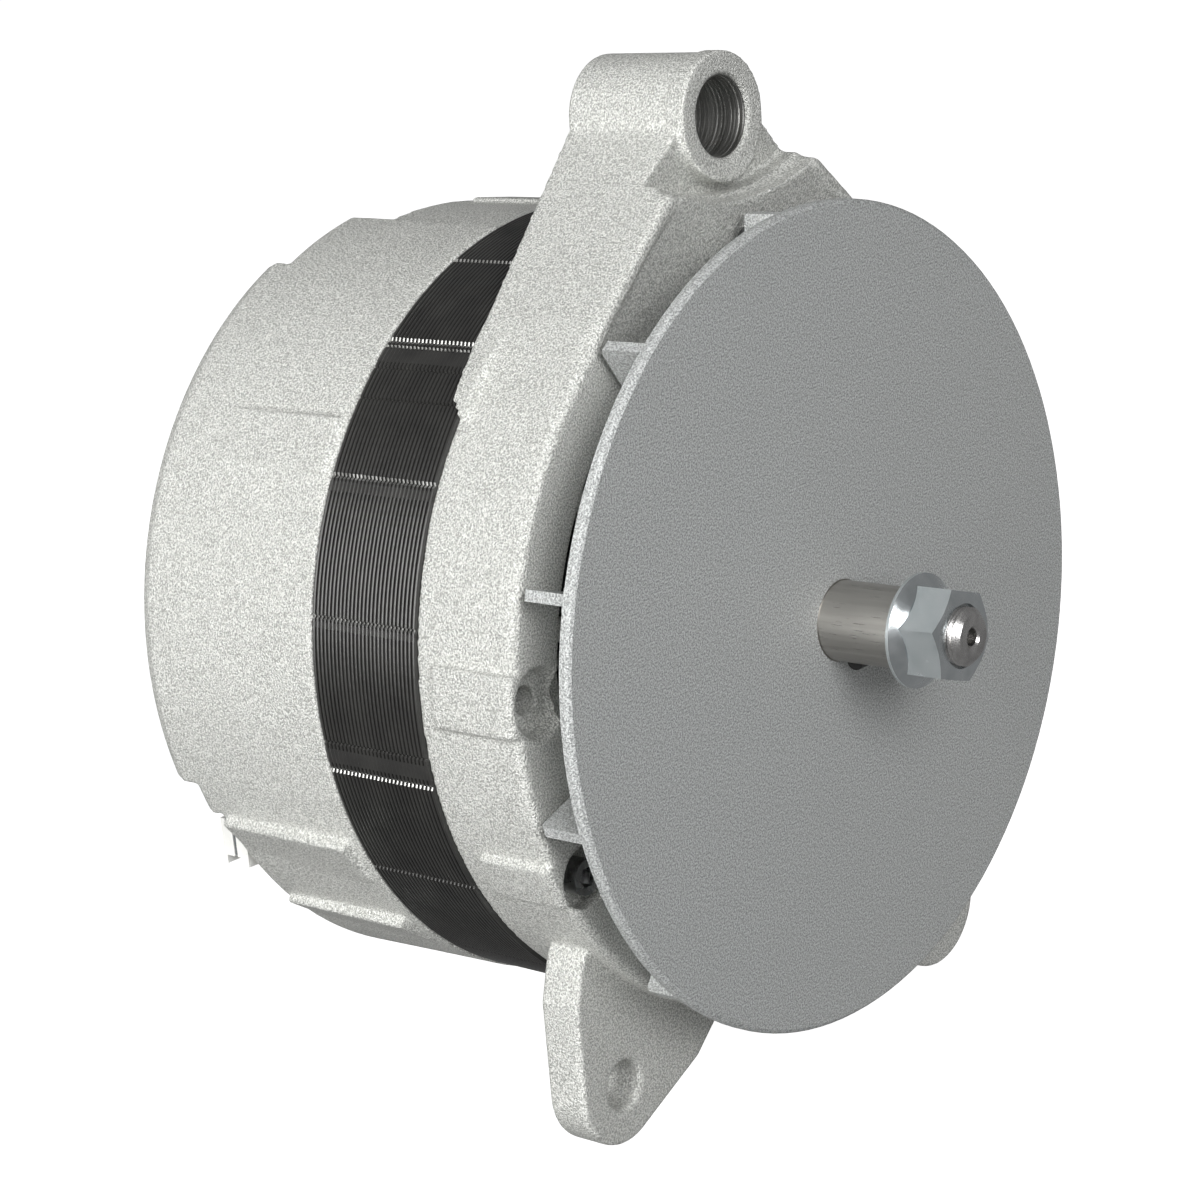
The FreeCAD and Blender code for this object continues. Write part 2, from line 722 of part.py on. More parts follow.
def make_bearing(end, ball_count):
    """Outer race with shields, inner race, and the balls with their cage as a pair of sub-parts."""
    start = f"{end}_bearing_start"
    width = f"{end}_bearing_width"
    middle = f"({start} + {width} / 2)"
    pitch = f"{end}_bearing_pitch"
    ball = f"{end}_ball_radius"
    track = f"{ball} + track_gap"
    outer = body(f"{end}_bearing_outer_race")
    turn_race(outer, f"{end.title()}OuterRace", [
        (start, f"{end}_bearing_outer - race_edge"), (f"{start} + race_edge", f"{end}_bearing_outer"),
        (f"{start} + {width} - race_edge", f"{end}_bearing_outer"),
        (f"{start} + {width}", f"{end}_bearing_outer - race_edge")],
        (start, f"({start} + {width})"), f"{end}_land_outer", pitch, track)
    inner = body(f"{end}_bearing_inner_race")
    turn_race(inner, f"{end.title()}InnerRace", [
        (start, f"{end}_bearing_bore + seat_gap"), (f"{start} + {width}", f"{end}_bearing_bore + seat_gap")],
        (start, f"({start} + {width})"), f"{end}_land_inner", pitch, track)
    shields = body(f"{end}_bearing_shields")
    for side, place in (("Front", f"{start} + 0.2"), ("Rear", f"{start} + {width} - 0.2 - shield_thickness")):
        turn(shields, f"{end.title()}{side}Shield", box_corners(
            place, f"{place} + shield_thickness", f"{end}_land_inner + track_gap", f"{end}_land_outer"))
    balls = body(f"{end}_bearing_balls")
    half = side_sketch(balls, f"{end.title()}BallProfile")
    half_disc(half, middle, pitch, ball)
    sphere = balls.newObject("PartDesign::Revolution", f"{end.title()}Ball")
    sphere.Profile = half
    sphere.ReferenceAxis = (half, ["Edge2"])
    sphere.Angle = 360
    repeat_round(balls, f"{end.title()}Balls", [sphere], str(ball_count))
    cage = body(f"{end}_bearing_cage")
    half_width = f"{ball} + 1.2"
    inside = f"{end}_land_inner + ({end}_land_outer - {end}_land_inner) * 0.36"
    outside = f"{end}_land_inner + ({end}_land_outer - {end}_land_inner) * 0.64"
    turn(cage, f"{end.title()}Cage", box_corners(f"{middle} - ({half_width})", f"{middle} + {half_width}",
                                                 inside, outside))
    hole = cage.newObject("Sketcher::SketchObject", f"{end.title()}CageHoleProfile")
    hole.AttachmentSupport = [(own_plane(cage, "XY_Plane"), "")]
    hole.MapMode = "FlatFace"
    circle(hole, "0", middle, f"{ball} + 0.1")
    pocket = cage.newObject("PartDesign::Pocket", f"{end.title()}CageHole")
    pocket.Profile = hole
    pocket.Reversed = True
    bind(pocket, "Length", f"{end}_bearing_outer")
    repeat_round(cage, f"{end.title()}CageHoles", [pocket], str(ball_count))
    return [outer, inner, shields, balls, cage]


def half_disc(sketch, along, pitch, radius):
    """Half disc whose straight side is parallel to the shaft, to be revolved into a ball."""
    centre = Vector(size(along), size(pitch), 0)
    reach = size(radius)
    arc = sketch.addGeometry(Part.ArcOfCircle(Part.Circle(centre, Vector(0, 0, 1), reach), 0, pi))
    chord = sketch.addGeometry(Part.LineSegment(centre - Vector(reach, 0, 0), centre + Vector(reach, 0, 0)))
    sketch.addConstraint(Sketcher.Constraint("Coincident", arc, 2, chord, 1))
    sketch.addConstraint(Sketcher.Constraint("Coincident", arc, 1, chord, 2))
    sketch.addConstraint(Sketcher.Constraint("Horizontal", chord))
    sketch.addConstraint(Sketcher.Constraint("PointOnObject", arc, 3, chord))
    pin_point(sketch, arc, 3, along, pitch)
    number = sketch.addConstraint(Sketcher.Constraint("Radius", arc, reach))
    bind(sketch, f"Constraints[{number}]", radius)


# Drive end housing

POST_ANGLES = ("stud_turned - post_pitch", "stud_turned", "stud_turned + post_pitch")
EAR_HALF_ANGLE = "acos((case_radius - ear_boss_radius) / ear_height)"


def draw_ear(sketch):
    """Neck whose flanks are tangent to the boss and to the case."""
    sine = f"sin({EAR_HALF_ANGLE})"
    cosine = f"cos({EAR_HALF_ANGLE})"
    outline(sketch, [
        ("0", "case_radius * 0.5"),
        (f"case_radius * {sine}", f"case_radius * {cosine}"),
        (f"ear_boss_radius * {sine}", f"ear_height + ear_boss_radius * {cosine}"),
        (f"-ear_boss_radius * {sine}", f"ear_height + ear_boss_radius * {cosine}"),
        (f"-case_radius * {sine}", f"case_radius * {cosine}")])


def raise_ear_skirts(case):
    """Thin skirts that carry the rear edge of the neck down to the rear edge of the case, one on each side."""
    half = "case_radius * sin(ear_skirt_span / 2)"
    for side, sign, back in (("Left", "", "-"), ("Right", "-", "")):
        turn(case, f"{side}EarSkirt", box_corners("stator_front - 1", "ear_skirt_rear", "stator_radius - 2",
                                                  "case_radius"),
             turned=f"{sign}ear_skirt_turned", span="ear_skirt_span")
        slope = side_sketch(case, f"{side}EarSkirtSlope", f"{back}(90 - ear_skirt_turned)")
        outline(slope, [
            ("ear_skirt_rear", half), ("stator_front", f"-{half}"), ("stator_front", f"-{half} - 2"),
            ("ear_skirt_rear + 1", f"-{half} - 2"), ("ear_skirt_rear + 1", half)])
        cut = case.newObject("PartDesign::Pocket", f"{side}EarSkirtCut")
        cut.Profile = slope
        cut.Midplane = True
        bind(cut, "Length", "2 * case_radius + 4")


def sink_ear_land(case):
    """Leaning recess in the front of the neck, between its flank rims and down to the hollow of the web."""
    sketch = face_sketch(case, "EarLandProfile", "ear_land_front + ear_land_top * tan(ear_land_tilt)")
    sketch.AttachmentOffset = Placement(sketch.AttachmentOffset.Base, Rotation(Vector(1, 0, 0),
                                                                               size("ear_land_tilt")))
    bind(sketch, ".AttachmentOffset.Rotation.Angle", "ear_land_tilt")
    low = []
    for step in range(-6, 7):
        turned = f"ear_land_turned * {step} / 6"
        low.append((f"ear_land_low * sin({turned})", f"ear_land_low * cos({turned}) / cos(ear_land_tilt)"))
    corner_x = "ear_land_corner * sin(ear_land_turned)"
    corner_z = "ear_land_corner * cos(ear_land_turned) / cos(ear_land_tilt)"
    top = "ear_land_top / cos(ear_land_tilt)"
    outline(sketch, low + [(corner_x, corner_z), ("ear_land_top_half", top), ("-ear_land_top_half", top),
                           (f"-{corner_x}", corner_z)])
    recess = case.newObject("PartDesign::Pocket", "EarLand")
    recess.Profile = sketch
    recess.Reversed = True
    bind(recess, "TaperAngle", "ear_land_draft")
    bind(recess, "Length", "ear_land_depth")


def sink_ear_scoop(case):
    """Round hollow at the foot of the boss: a lip, a cove below it and the sloping face under the boss."""
    profile = side_sketch(case, "EarScoopProfile")
    steps = [
        ("case_front - 6", "0"), ("case_front - 6", "ear_cove_radius + 3"),
        ("case_front", "ear_cove_radius"), ("ear_cove_rear - 3.5", "ear_cove_radius + 0.3"),
        ("ear_cove_rear - 0.8", "ear_cove_radius - 0.4"), ("ear_cove_rear", "ear_cove_radius - 1.6"),
        ("ear_lip_front + 0.8", "ear_lip_radius + 0.4"), ("ear_lip_front", "ear_lip_radius"),
        ("ear_lip_front + 4.7", "ear_lip_radius - 18"), ("ear_boss_front + 1.5", "ear_lip_radius - 33"),
        ("ear_boss_front + 1.5", "0")]
    outline(profile, [(along, f"ear_scoop_centre - ({radius})") for along, radius in steps])
    cut = case.newObject("PartDesign::Groove", "EarScoop")
    cut.Profile = profile
    cut.ReferenceAxis = (profile, [f"Edge{len(steps)}"])
    cut.Angle = 360


def shoulder_edge(edge):
    """Chooser of the front edge of the case and of the two flanks of the neck, which run on from it."""
    if ring_edge("case_front", "case_radius")(edge):
        return True
    ends = [vertex.Point for vertex in edge.Vertexes]
    on_front = all(abs(point.y - size("case_front")) < 0.01 for point in ends)
    return on_front and all(abs(point.x) > 1 and point.z > size("case_radius * 0.6") for point in ends) \
        and abs(ends[0].z - ends[-1].z) > 1


def draw_lug(tip):
    """Symmetrical lug: parallel sides, then flanks that run to the arc of the tip round the hole."""
    def draw(sketch):
        outline(sketch, [
            ("-lug_half_width", "case_radius * 0.6"), ("lug_half_width", "case_radius * 0.6"),
            ("lug_half_width", "lug_shoulder"), ("lug_half_width - 3", "lug_shoulder + 10"),
            (f"{tip} * 0.82", f"lug_circle + {tip} * 0.57"), (f"-{tip} * 0.82", f"lug_circle + {tip} * 0.57"),
            ("-lug_half_width + 3", "lug_shoulder + 10"), ("-lug_half_width", "lug_shoulder")])
    return draw


def lug_edge(edge):
    """Chooser of the outer edges of both lugs, in their front and rear faces."""
    faces = (size("lug_front"), size("lug_front + lug_thickness"))
    points = [edge.valueAt(edge.FirstParameter), edge.valueAt((edge.FirstParameter + edge.LastParameter) / 2),
              edge.valueAt(edge.LastParameter)]
    for face in faces:
        if all(abs(point.y - face) < 0.01 and point.z < 0 for point in points):
            return all((point.x ** 2 + point.z ** 2) ** 0.5 > size("lug_shoulder + 4") for point in points)
    return False


def make_drive_end_housing():
    case = body("drive_end_housing")
    turn(case, "CaseShell", [
        ("case_front", "spacer_radius + lip_gap"), ("case_front", "case_radius"),
        ("stator_front", "case_radius"), ("stator_front", "spacer_radius + lip_gap")])
    raise_face(case, "EarNeck", "case_front", "ear_plate_rear - case_front", draw_ear)
    ease_edges(case, "CaseShoulder", "case_round", shoulder_edge)
    turn(case, "WebHollow", [
        ("case_front - 1", "0"), ("case_front - 1", "web_rim"), ("web_front", "web_rim - web_draft"),
        ("web_front", "0")], cut=True)
    sink_ear_land(case)
    sink_ear_scoop(case)
    raise_face(case, "EarBoss", "ear_boss_front", "ear_rear - ear_boss_front",
               draw_circle("0", "ear_height", "ear_boss_radius"))
    ease_edges(case, "EarBossRear", "ear_boss_round", boss_edge("ear_rear", "ear_boss_radius"))
    raise_face(case, "EarRing", "ear_front", "ear_boss_front - ear_front + 1",
               draw_circle("0", "ear_height", "ear_ring_radius"))
    ease_edges(case, "EarRingFront", "ear_ring_round", boss_edge("ear_front", "ear_ring_radius"))
    for side, sign, tip in (("Left", "", "left_lug_tip"), ("Right", "-", "right_lug_tip")):
        raise_face(case, f"{side}Lug", "lug_front", "lug_thickness", draw_lug(tip),
                   turned=f"{sign}lug_turned")
        raise_face(case, f"{side}LugTip", "lug_front", "lug_thickness", draw_circle("0", "lug_circle", tip),
                   turned=f"{sign}lug_turned")
    ease_edges(case, "LugEdges", "lug_edge", lug_edge)
    for name in ("a", "b"):
        turn(case, f"CasePad{name.upper()}", box_corners("case_front", f"pad_{name}_end", "web_rim + 4",
                                                         "case_radius + pad_height"),
             turned=f"pad_{name}_turned", span=f"pad_{name}_span")
    ease_edges(case, "PadShoulders", "case_round", ring_edge("case_front", "case_radius + pad_height"))
    turn(case, "BearingSeat", [
        ("front_bearing_start", "0"), ("front_bearing_start", "front_bearing_outer + seat_gap"),
        ("front_bearing_start + front_bearing_width", "front_bearing_outer + seat_gap"),
        ("front_bearing_start + front_bearing_width", "0")], cut=True)
    turn(case, "CaseCavity", [
        ("web_rear", "hub_radius"), ("web_rear", "case_radius - case_wall"),
        ("stator_front + 1", "case_radius - case_wall"), ("stator_front + 1", "0"),
        ("front_bearing_start + front_bearing_width", "0"),
        ("front_bearing_start + front_bearing_width", "hub_radius")], cut=True)
    raise_ear_skirts(case)
    turn(case, "StatorClearance", [
        ("stator_front", "0"), ("stator_front", "stator_radius + 0.5"),
        ("ear_rear + 5", "stator_radius + 0.5"), ("ear_rear + 5", "0")], cut=True)
    boss = raise_face(case, "BoltBoss", "web_rear - 2", "stator_front - web_rear + 2",
                      draw_circle("0", "bolt_circle", "bolt_boss_radius"), turned="bolt_turned")
    repeat_round(case, "BoltBosses", [boss], "bolt_count")
    recess = sink_face(case, "BoltRecess", "case_front - 1", "recess_depth + 1",
                       draw_circle("0", "bolt_circle", "bolt_recess_radius"), turned="bolt_turned")
    hole = sink_face(case, "BoltHole", "case_front - 1", "stator_front", draw_circle("0", "bolt_circle",
                                                                                     "bolt_hole_radius"),
                     turned="bolt_turned")
    repeat_round(case, "BoltHoles", [recess, hole], "bolt_count")
    window = sink_face(case, "Window", "case_front - 2", "web_rear - case_front + 4",
                       lambda sketch: outline(sketch, [
                           ("-window_inner * tan(180 / window_count) + window_rib / 2", "window_inner"),
                           ("window_inner * tan(180 / window_count) - window_rib / 2", "window_inner"),
                           ("window_outer * tan(180 / window_count) - window_rib / 2", "window_outer"),
                           ("-window_outer * tan(180 / window_count) + window_rib / 2", "window_outer")]))
    repeat_round(case, "Windows", [window], "window_count")
    raise_face(case, "SpareBoss", "web_rear - 2", "12",
                            draw_circle("0", "spare_hole_circle", "recess_floor"), turned="spare_hole_turned")
    sink_face(case, "SpareHole", "case_front - 1", "recess_depth + 16",
              draw_circle("0", "spare_hole_circle", "bolt_hole_radius"), turned="spare_hole_turned")
    sink_cone(case, "SpareRecess", "case_front", "recess_depth", "recess_mouth", "recess_floor",
              "spare_hole_circle", "spare_hole_turned")
    sink_bore(case, "EarBore", "ear_front", "ear_rear", "ear_height", "ear_bore_radius", "ear_bore_chamfer")
    for side, sign in (("Left", ""), ("Right", "-")):
        sink_bore(case, f"{side}LugHole", "lug_front", "lug_front + lug_thickness", "lug_circle",
                  "lug_hole_radius",
                  "lug_hole_chamfer", turned=f"{sign}lug_turned")
    screw = sink_face(case, "RetainerScrewHole", "web_front - 1", "front_bearing_width + 6",
                      draw_circle("0", "retainer_screw_circle", "retainer_screw_radius + 0.1"))
    repeat_round(case, "RetainerScrewHoles", [screw], "4")
    return case


def sink_cone(owner, label, along, depth, mouth, floor, circle_radius, turned):
    """Conical recess parallel to the shaft, turned about its own axis."""
    profile = side_sketch(owner, label + "Profile", turned)
    outline(profile, [
        (along + " - 2", circle_radius), (along + " - 2", f"{circle_radius} + {mouth}"),
        (along, f"{circle_radius} + {mouth}"), (f"{along} + {depth}", f"{circle_radius} + {floor}"),
        (f"{along} + {depth}", circle_radius)])
    cut = owner.newObject("PartDesign::Groove", label)
    cut.Profile = profile
    cut.ReferenceAxis = (profile, ["Edge5"])
    cut.Angle = 360
    return cut


def sink_bore(owner, label, front, rear, circle_radius, radius, chamfer, turned="0"):
    """Through hole parallel to the shaft with a chamfer at both ends."""
    profile = side_sketch(owner, label + "Profile", turned)
    mouth = f"{circle_radius} + {radius} + {chamfer} + 1"
    outline(profile, [
        (f"{front} - 1", circle_radius), (f"{front} - 1", mouth), (f"{front} + {chamfer}",
                                                                   f"{circle_radius} + {radius}"),
        (f"{rear} - {chamfer}", f"{circle_radius} + {radius}"), (f"{rear} + 1", mouth), (f"{rear} + 1",
                                                                                         circle_radius)])
    cut = owner.newObject("PartDesign::Groove", label)
    cut.Profile = profile
    cut.ReferenceAxis = (profile, ["Edge6"])
    cut.Angle = 360


def make_retainer():
    plate = body("bearing_retainer")
    end = "front_bearing_start + front_bearing_width"
    turn(plate, "RetainerPlate", box_corners(end, f"{end} + retainer_thickness", "retainer_inner",
                                             "retainer_radius"))
    hole = sink_face(plate, "RetainerHole", f"{end} - 1", "retainer_thickness + 2",
                     draw_circle("0", "retainer_screw_circle", "retainer_screw_radius + 0.1"))
    repeat_round(plate, "RetainerHoles", [hole], "4")
    return plate


def make_screws(name, label, under_head, shank_end, circle_radius, shank, head, head_height, count,
                turned="0",
                to_front=True):
    """Ring of equal screws parallel to the shaft, each with a round socket head on the side named."""
    screws = body(name)
    stem = raise_face(screws, f"{label}Stem", under_head, f"{shank_end} - ({under_head})" if to_front
                      else f"{under_head} - ({shank_end})", draw_circle("0", circle_radius, shank),
                      turned=turned, to_front=not to_front)
    top = raise_face(screws, f"{label}Head", under_head, head_height, draw_circle("0", circle_radius, head),
                     turned=turned, to_front=to_front)
    socket_start = f"{under_head} - {head_height}" if to_front else f"{under_head} + {head_height} * 0.45"
    socket = sink_face(screws, f"{label}Socket", socket_start, f"{head_height} * 0.55",
                       draw_hexagon("0", circle_radius, f"{head} * 1.05"), turned=turned)
    if int(size(count)) > 1:
        repeat_round(screws, f"{label}Ring", [stem, top, socket], count)
    return screws


# Stator

def make_stator_core():
    core = body("stator_core")
    turn(core, "Stack", box_corners("stator_front", "stator_front + stator_length", "stator_bore",
                                    "stator_radius"))
    slot = sink_face(core, "Slot", "stator_front - 1", "stator_length + 2",
                     draw_box("-slot_width / 2", "slot_width / 2", "slot_top", "slot_bottom"))
    mouth = sink_face(core, "SlotMouth", "stator_front - 1", "stator_length + 2",
                      draw_box("-slot_mouth / 2", "slot_mouth / 2", "stator_bore - 2", "slot_top + 1"))
    repeat_round(core, "Slots", [slot, mouth], "slot_count")
    weld = sink_face(core, "WeldGroove", "stator_front - 1", "stator_length + 2",
                     draw_box("-weld_width / 2", "weld_width / 2", "stator_radius - weld_depth",
                              "stator_radius + 2"),
                     turned="weld_first")
    repeat_round(core, "WeldGrooves", [weld], "weld_count")
    hole = sink_face(core, "StackBoltHole", "stator_front - 1", "stator_length + 2",
                     draw_circle("0", "bolt_circle", "bolt_hole_radius"), turned="bolt_turned")
    repeat_round(core, "StackBoltHoles", [hole], "bolt_count")
    return core


def make_slot_liners():
    """Insulating paper, one fold in each slot."""
    liners = body("slot_liners")
    fold = raise_face(liners, "LinerFold", "stator_front", "stator_length",
                      draw_box("-slot_width / 2", "slot_width / 2", "slot_top", "slot_bottom"))
    inside = sink_face(liners, "LinerInside", "stator_front - 1", "stator_length + 2",
                       draw_box("-slot_width / 2 + slot_liner", "slot_width / 2 - slot_liner",
                                "slot_top - 1", "slot_bottom - slot_liner"))
    repeat_round(liners, "LinerFolds", [fold, inside], "slot_count")
    return liners


def make_winding():
    """Copper bars in the slots, joined by a ring of coil ends at each side of the stack."""
    winding = body("stator_winding")
    low = "slot_top + slot_liner + 0.4"
    high = "slot_bottom - slot_liner"
    stack_end = "stator_front + stator_length"
    for side, near, far in (("Front", "stator_front - coil_end_gap", "stator_front - coil_end_reach"),
                            ("Rear", f"{stack_end} + coil_end_gap", f"{stack_end} + coil_end_reach")):
        inward = "+ coil_end_edge" if side == "Front" else "- coil_end_edge"
        turn(winding, f"{side}CoilEnds", [
            (near, low), (near, high), (f"{far} {inward}", high), (far, f"{high} - coil_end_edge"),
            (far, f"{low} + coil_end_edge"), (f"{far} {inward}", low)])
        loop = raise_face(winding, f"{side}Loop", f"{far}" if side == "Rear" else f"{far} - coil_loop_height",
                          "coil_loop_height",
                          draw_box("-coil_loop_width / 2", "coil_loop_width / 2",
                                   f"{low} + coil_end_edge", f"{high} - coil_end_edge"))
        repeat_round(winding, f"{side}Loops", [loop], "slot_count")
    bar = raise_face(winding, "SlotBar", "stator_front - coil_end_gap - 1",
                     "stator_length + 2 * coil_end_gap + 2",
                     draw_box("-slot_width / 2 + slot_liner", "slot_width / 2 - slot_liner", low, high))
    repeat_round(winding, "SlotBars", [bar], "slot_count")
    return winding


# Stationary field

def make_field():
    inner = "rotor_hub_radius + air_gap"
    sleeve = f"({inner} + field_sleeve)"
    seat = "(rear_bearing_start - 5)"
    support = body("field_support")
    turn(support, "FieldSleeve", [
        ("hub_start + pole_disc_thickness + 2", inner), ("hub_start + pole_disc_thickness + 2", sleeve),
        (f"{seat} - field_flange", sleeve), (f"{seat} - field_flange", "tower_radius"), (seat,
                                                                                         "tower_radius"),
        (seat, inner)])
    hole = sink_face(support, "FieldScrewHole", f"{seat} - field_flange - 1", "field_flange + 2",
                     draw_circle("0", "field_screw_circle", "field_screw_radius + 0.1"))
    repeat_round(support, "FieldScrewHoles", [hole], "3")
    bobbin = body("field_bobbin")
    start = "hub_start + pole_disc_thickness + 2"
    end = "hub_end - 6"
    turn(bobbin, "Bobbin", [
        (start, f"{sleeve} + seat_gap"), (start, "field_coil_radius + 1"),
        (f"{start} + bobbin_wall", "field_coil_radius + 1"), (f"{start} + bobbin_wall",
                                                              f"{sleeve} + bobbin_wall"),
        (f"{end} - bobbin_wall", f"{sleeve} + bobbin_wall"), (f"{end} - bobbin_wall",
                                                              "field_coil_radius + 1"),
        (end, "field_coil_radius + 1"), (end, f"{sleeve} + seat_gap")])
    coil = body("field_coil")
    turn(coil, "Coil", box_corners(f"{start} + bobbin_wall", f"{end} - bobbin_wall",
                                   f"{sleeve} + bobbin_wall", "field_coil_radius"))
    return [support, bobbin, coil]


# Rear housing

SCREW_HOLE = "small_screw_radius + 0.05"
STRAP_OUTER = "capacitor_radius + seat_gap + capacitor_strap"
STRAP_SCREW = f"{STRAP_OUTER} + strap_foot / 2"


def draw_rear_pad(sketch):
    """Flat pad with a bevelled upper side, sloping down until it is nearly flush at its lower side."""
    half = "rear_pad_width / 2"
    high = "rear_front_radius + rear_pad_height"
    outline(sketch, [
        (f"-{half}", "rear_front_radius - 8"), (half, "rear_front_radius - 8"), (half,
                                                                                 f"{high} - rear_pad_bevel"),
        (f"{half} - rear_pad_bevel", high), (f"-{half}", "rear_front_radius + 0.2")])


def make_rear_housing():
    cup = body("rear_housing")
    turn(cup, "CupShell", [
        ("rear_front", "0"), ("rear_front", "rear_front_radius"), ("rear_end - rear_round", "rear_radius"),
        ("rear_end - rear_round * 0.3", "rear_radius - rear_round * 0.3"),
        ("rear_end", "rear_radius - rear_round"), ("rear_end", "0")])
    turn(cup, "StepSector", [
        ("rear_end - 20", "0"), ("rear_end - 20", "rear_radius - 0.4"), ("step_end - step_round",
                                                                         "rear_radius"),
        ("step_end - step_round * 0.3", "rear_radius - step_round * 0.3"),
        ("step_end", "rear_radius - step_round"), ("step_end", "vent_outer + 4"), ("rear_end",
                                                                                   "vent_outer + 2"),
        ("rear_end", "0")], turned="step_turned", span="step_span")
    turn(cup, "DeepSector", [
        ("rear_end - 20", "0"), ("rear_end - 20", "rear_radius - 0.4"), ("deep_end - rear_round",
                                                                         "rear_radius"),
        ("deep_end - rear_round * 0.3", "rear_radius - rear_round * 0.3"),
        ("deep_end", "rear_radius - rear_round"), ("deep_end", "tower_radius + 2"),
        ("rear_end", "tower_radius - 4"), ("rear_end", "0")], turned="deep_turned", span="deep_span")
    turn(cup, "TopRelief", [
        ("rear_front - 1", "relief_radius"), ("rear_front - 1", "rear_radius + 5"), ("rear_end + 1",
                                                                                     "rear_radius + 5"),
        ("rear_end + 1", "relief_inner"), ("relief_end", "relief_inner"), ("relief_end", "relief_radius")],
        cut=True, turned="relief_turned", span="relief_span")
    raise_face(cup, "PlainPad", "plain_pad_start", "plain_pad_end - plain_pad_start",
               draw_box("-plain_pad_width / 2", "plain_pad_width / 2", "rear_front_radius - 8",
                        "rear_front_radius + plain_pad_height"), turned="plain_pad_turned")
    for name in ("b", "c"):
        raise_face(cup, f"RearPad{name.upper()}", "rear_pad_start", f"rear_pad_{name}_end - rear_pad_start",
                   draw_rear_pad, turned=f"rear_pad_{name}_turned")
    raise_face(cup, "TopPad", "rear_pad_start", "top_pad_end - rear_pad_start",
               draw_box("-rear_pad_width / 2", "rear_pad_width / 2", "rear_front_radius - 8",
                        "top_pad_radius"),
               turned="top_pad_turned")
    turn(cup, "CupCavity", [
        ("rear_front - 1", "0"), ("rear_front - 1", "rear_front_radius - rear_skin"),
        ("rear_end - rear_wall", "rear_radius - rear_skin"), ("rear_end - rear_wall", "tower_radius"),
        ("rear_bearing_start - 5", "tower_radius"), ("rear_bearing_start - 5", "0")], cut=True)
    turn(cup, "DeepCavity", [
        ("rear_end - rear_wall - 1", "tower_radius + 4"), ("rear_end - rear_wall - 1",
                                                           "rear_radius - rear_skin"),
        ("deep_end - rear_wall", "rear_radius - rear_skin"), ("deep_end - rear_wall", "tower_radius + 4")],
        cut=True, turned="deep_turned", span="deep_span - 8")
    turn(cup, "TopReliefWall", [
        ("relief_end - rear_wall", "relief_inner - rear_wall"), ("relief_end - rear_wall",
                                                                 "relief_radius - 1"),
        ("relief_end", "relief_radius - 1"), ("relief_end", "relief_inner"), ("rear_end", "relief_inner"),
        ("rear_end", "relief_inner - rear_wall")], turned="relief_turned", span="relief_span")
    turn(cup, "RearBearingSeat", [
        ("rear_bearing_start - 6", "0"), ("rear_bearing_start - 6", "rear_bearing_outer + seat_gap"),
        ("rear_bearing_start + rear_bearing_width", "rear_bearing_outer + seat_gap"),
        ("rear_bearing_start + rear_bearing_width", "tower_bore"), ("rear_end + 1", "tower_bore"),
        ("rear_end + 1", "0")], cut=True)
    boss = raise_face(cup, "RearBoltBoss", "rear_front", "rear_end - rear_front - 2",
                      draw_circle("0", "rear_boss_circle", "rear_boss_radius"), turned="bolt_turned")
    repeat_round(cup, "RearBoltBosses", [boss], "bolt_count")
    hole = sink_face(cup, "RearBoltHole", "rear_front - 1", "bolt_end - rear_front + 4",
                     draw_circle("0", "bolt_circle", "bolt_radius + 0.05"), turned="bolt_turned")
    repeat_round(cup, "RearBoltHoles", [hole], "bolt_count")
    vent = sink_face(cup, "Vent", "rear_end - rear_wall - 1", "deep_end - rear_end + rear_wall + 3",
                     draw_box("-vent_half_width", "vent_half_width", "vent_inner", "vent_outer"),
                     turned="180 / vent_count")
    repeat_round(cup, "Vents", [vent], "vent_count")
    raise_face(cup, "OutputBoss", "deep_end - rear_wall", "rear_wall",
               draw_circle("0", "stud_circle", "insulator_radius + 3"), turned="stud_turned")
    sink_face(cup, "OutputHole", "deep_end - rear_wall - 1", "rear_wall + 2",
              draw_circle("0", "stud_circle", "stud_body_radius + 2"), turned="stud_turned")
    for number, turned in enumerate(POST_ANGLES, 1):
        sink_face(cup, f"PostHole{number}", "deep_end - rear_wall - 1", "rear_wall - 1",
                  draw_circle("0", "post_circle", "post_screw_radius + 0.05"), turned=turned)
    sink_face(cup, "GroundHole", "rear_end - rear_wall - 1", "rear_wall + 2",
              draw_circle("0", "ground_circle", "ground_radius + 0.05"), turned="ground_turned")
    for side, sign in (("Left", "-"), ("Right", "")):
        sink_face(cup, f"RegulatorHole{side}", "rear_end - rear_wall - 1", "small_screw_reach + 1.5",
                  draw_circle(f"{sign}(regulator_width - regulator_ear) / 2", "regulator_circle", SCREW_HOLE),
                  turned="regulator_turned")
    sink_face(cup, "CapacitorHole", "rear_end - rear_wall - 1", "small_screw_reach + 1.5",
              draw_circle(STRAP_SCREW, "capacitor_circle", SCREW_HOLE), turned="capacitor_turned")
    tower_hole = sink_face(cup, "TowerScrewHole", "rear_bearing_start - 6", "15",
                           draw_circle("0", "field_screw_circle", "field_screw_radius + 0.1"))
    repeat_round(cup, "TowerScrewHoles", [tower_hole], "3")
    return cup


def make_bearing_cap():
    cap = body("rear_bearing_cap")
    turn(cap, "Cap", [
        ("rear_end - 8", "0"), ("rear_end - 8", "tower_bore - seat_gap"), ("rear_end",
                                                                           "tower_bore - seat_gap"),
        ("rear_end", "tower_bore + 3"), ("rear_end + cap_thickness * 0.6", "tower_bore + 3"),
        ("rear_end + cap_thickness", "tower_bore + 1.5"), ("rear_end + cap_thickness", "0")])
    return cap


# Rectifier, regulator, capacitor and terminals

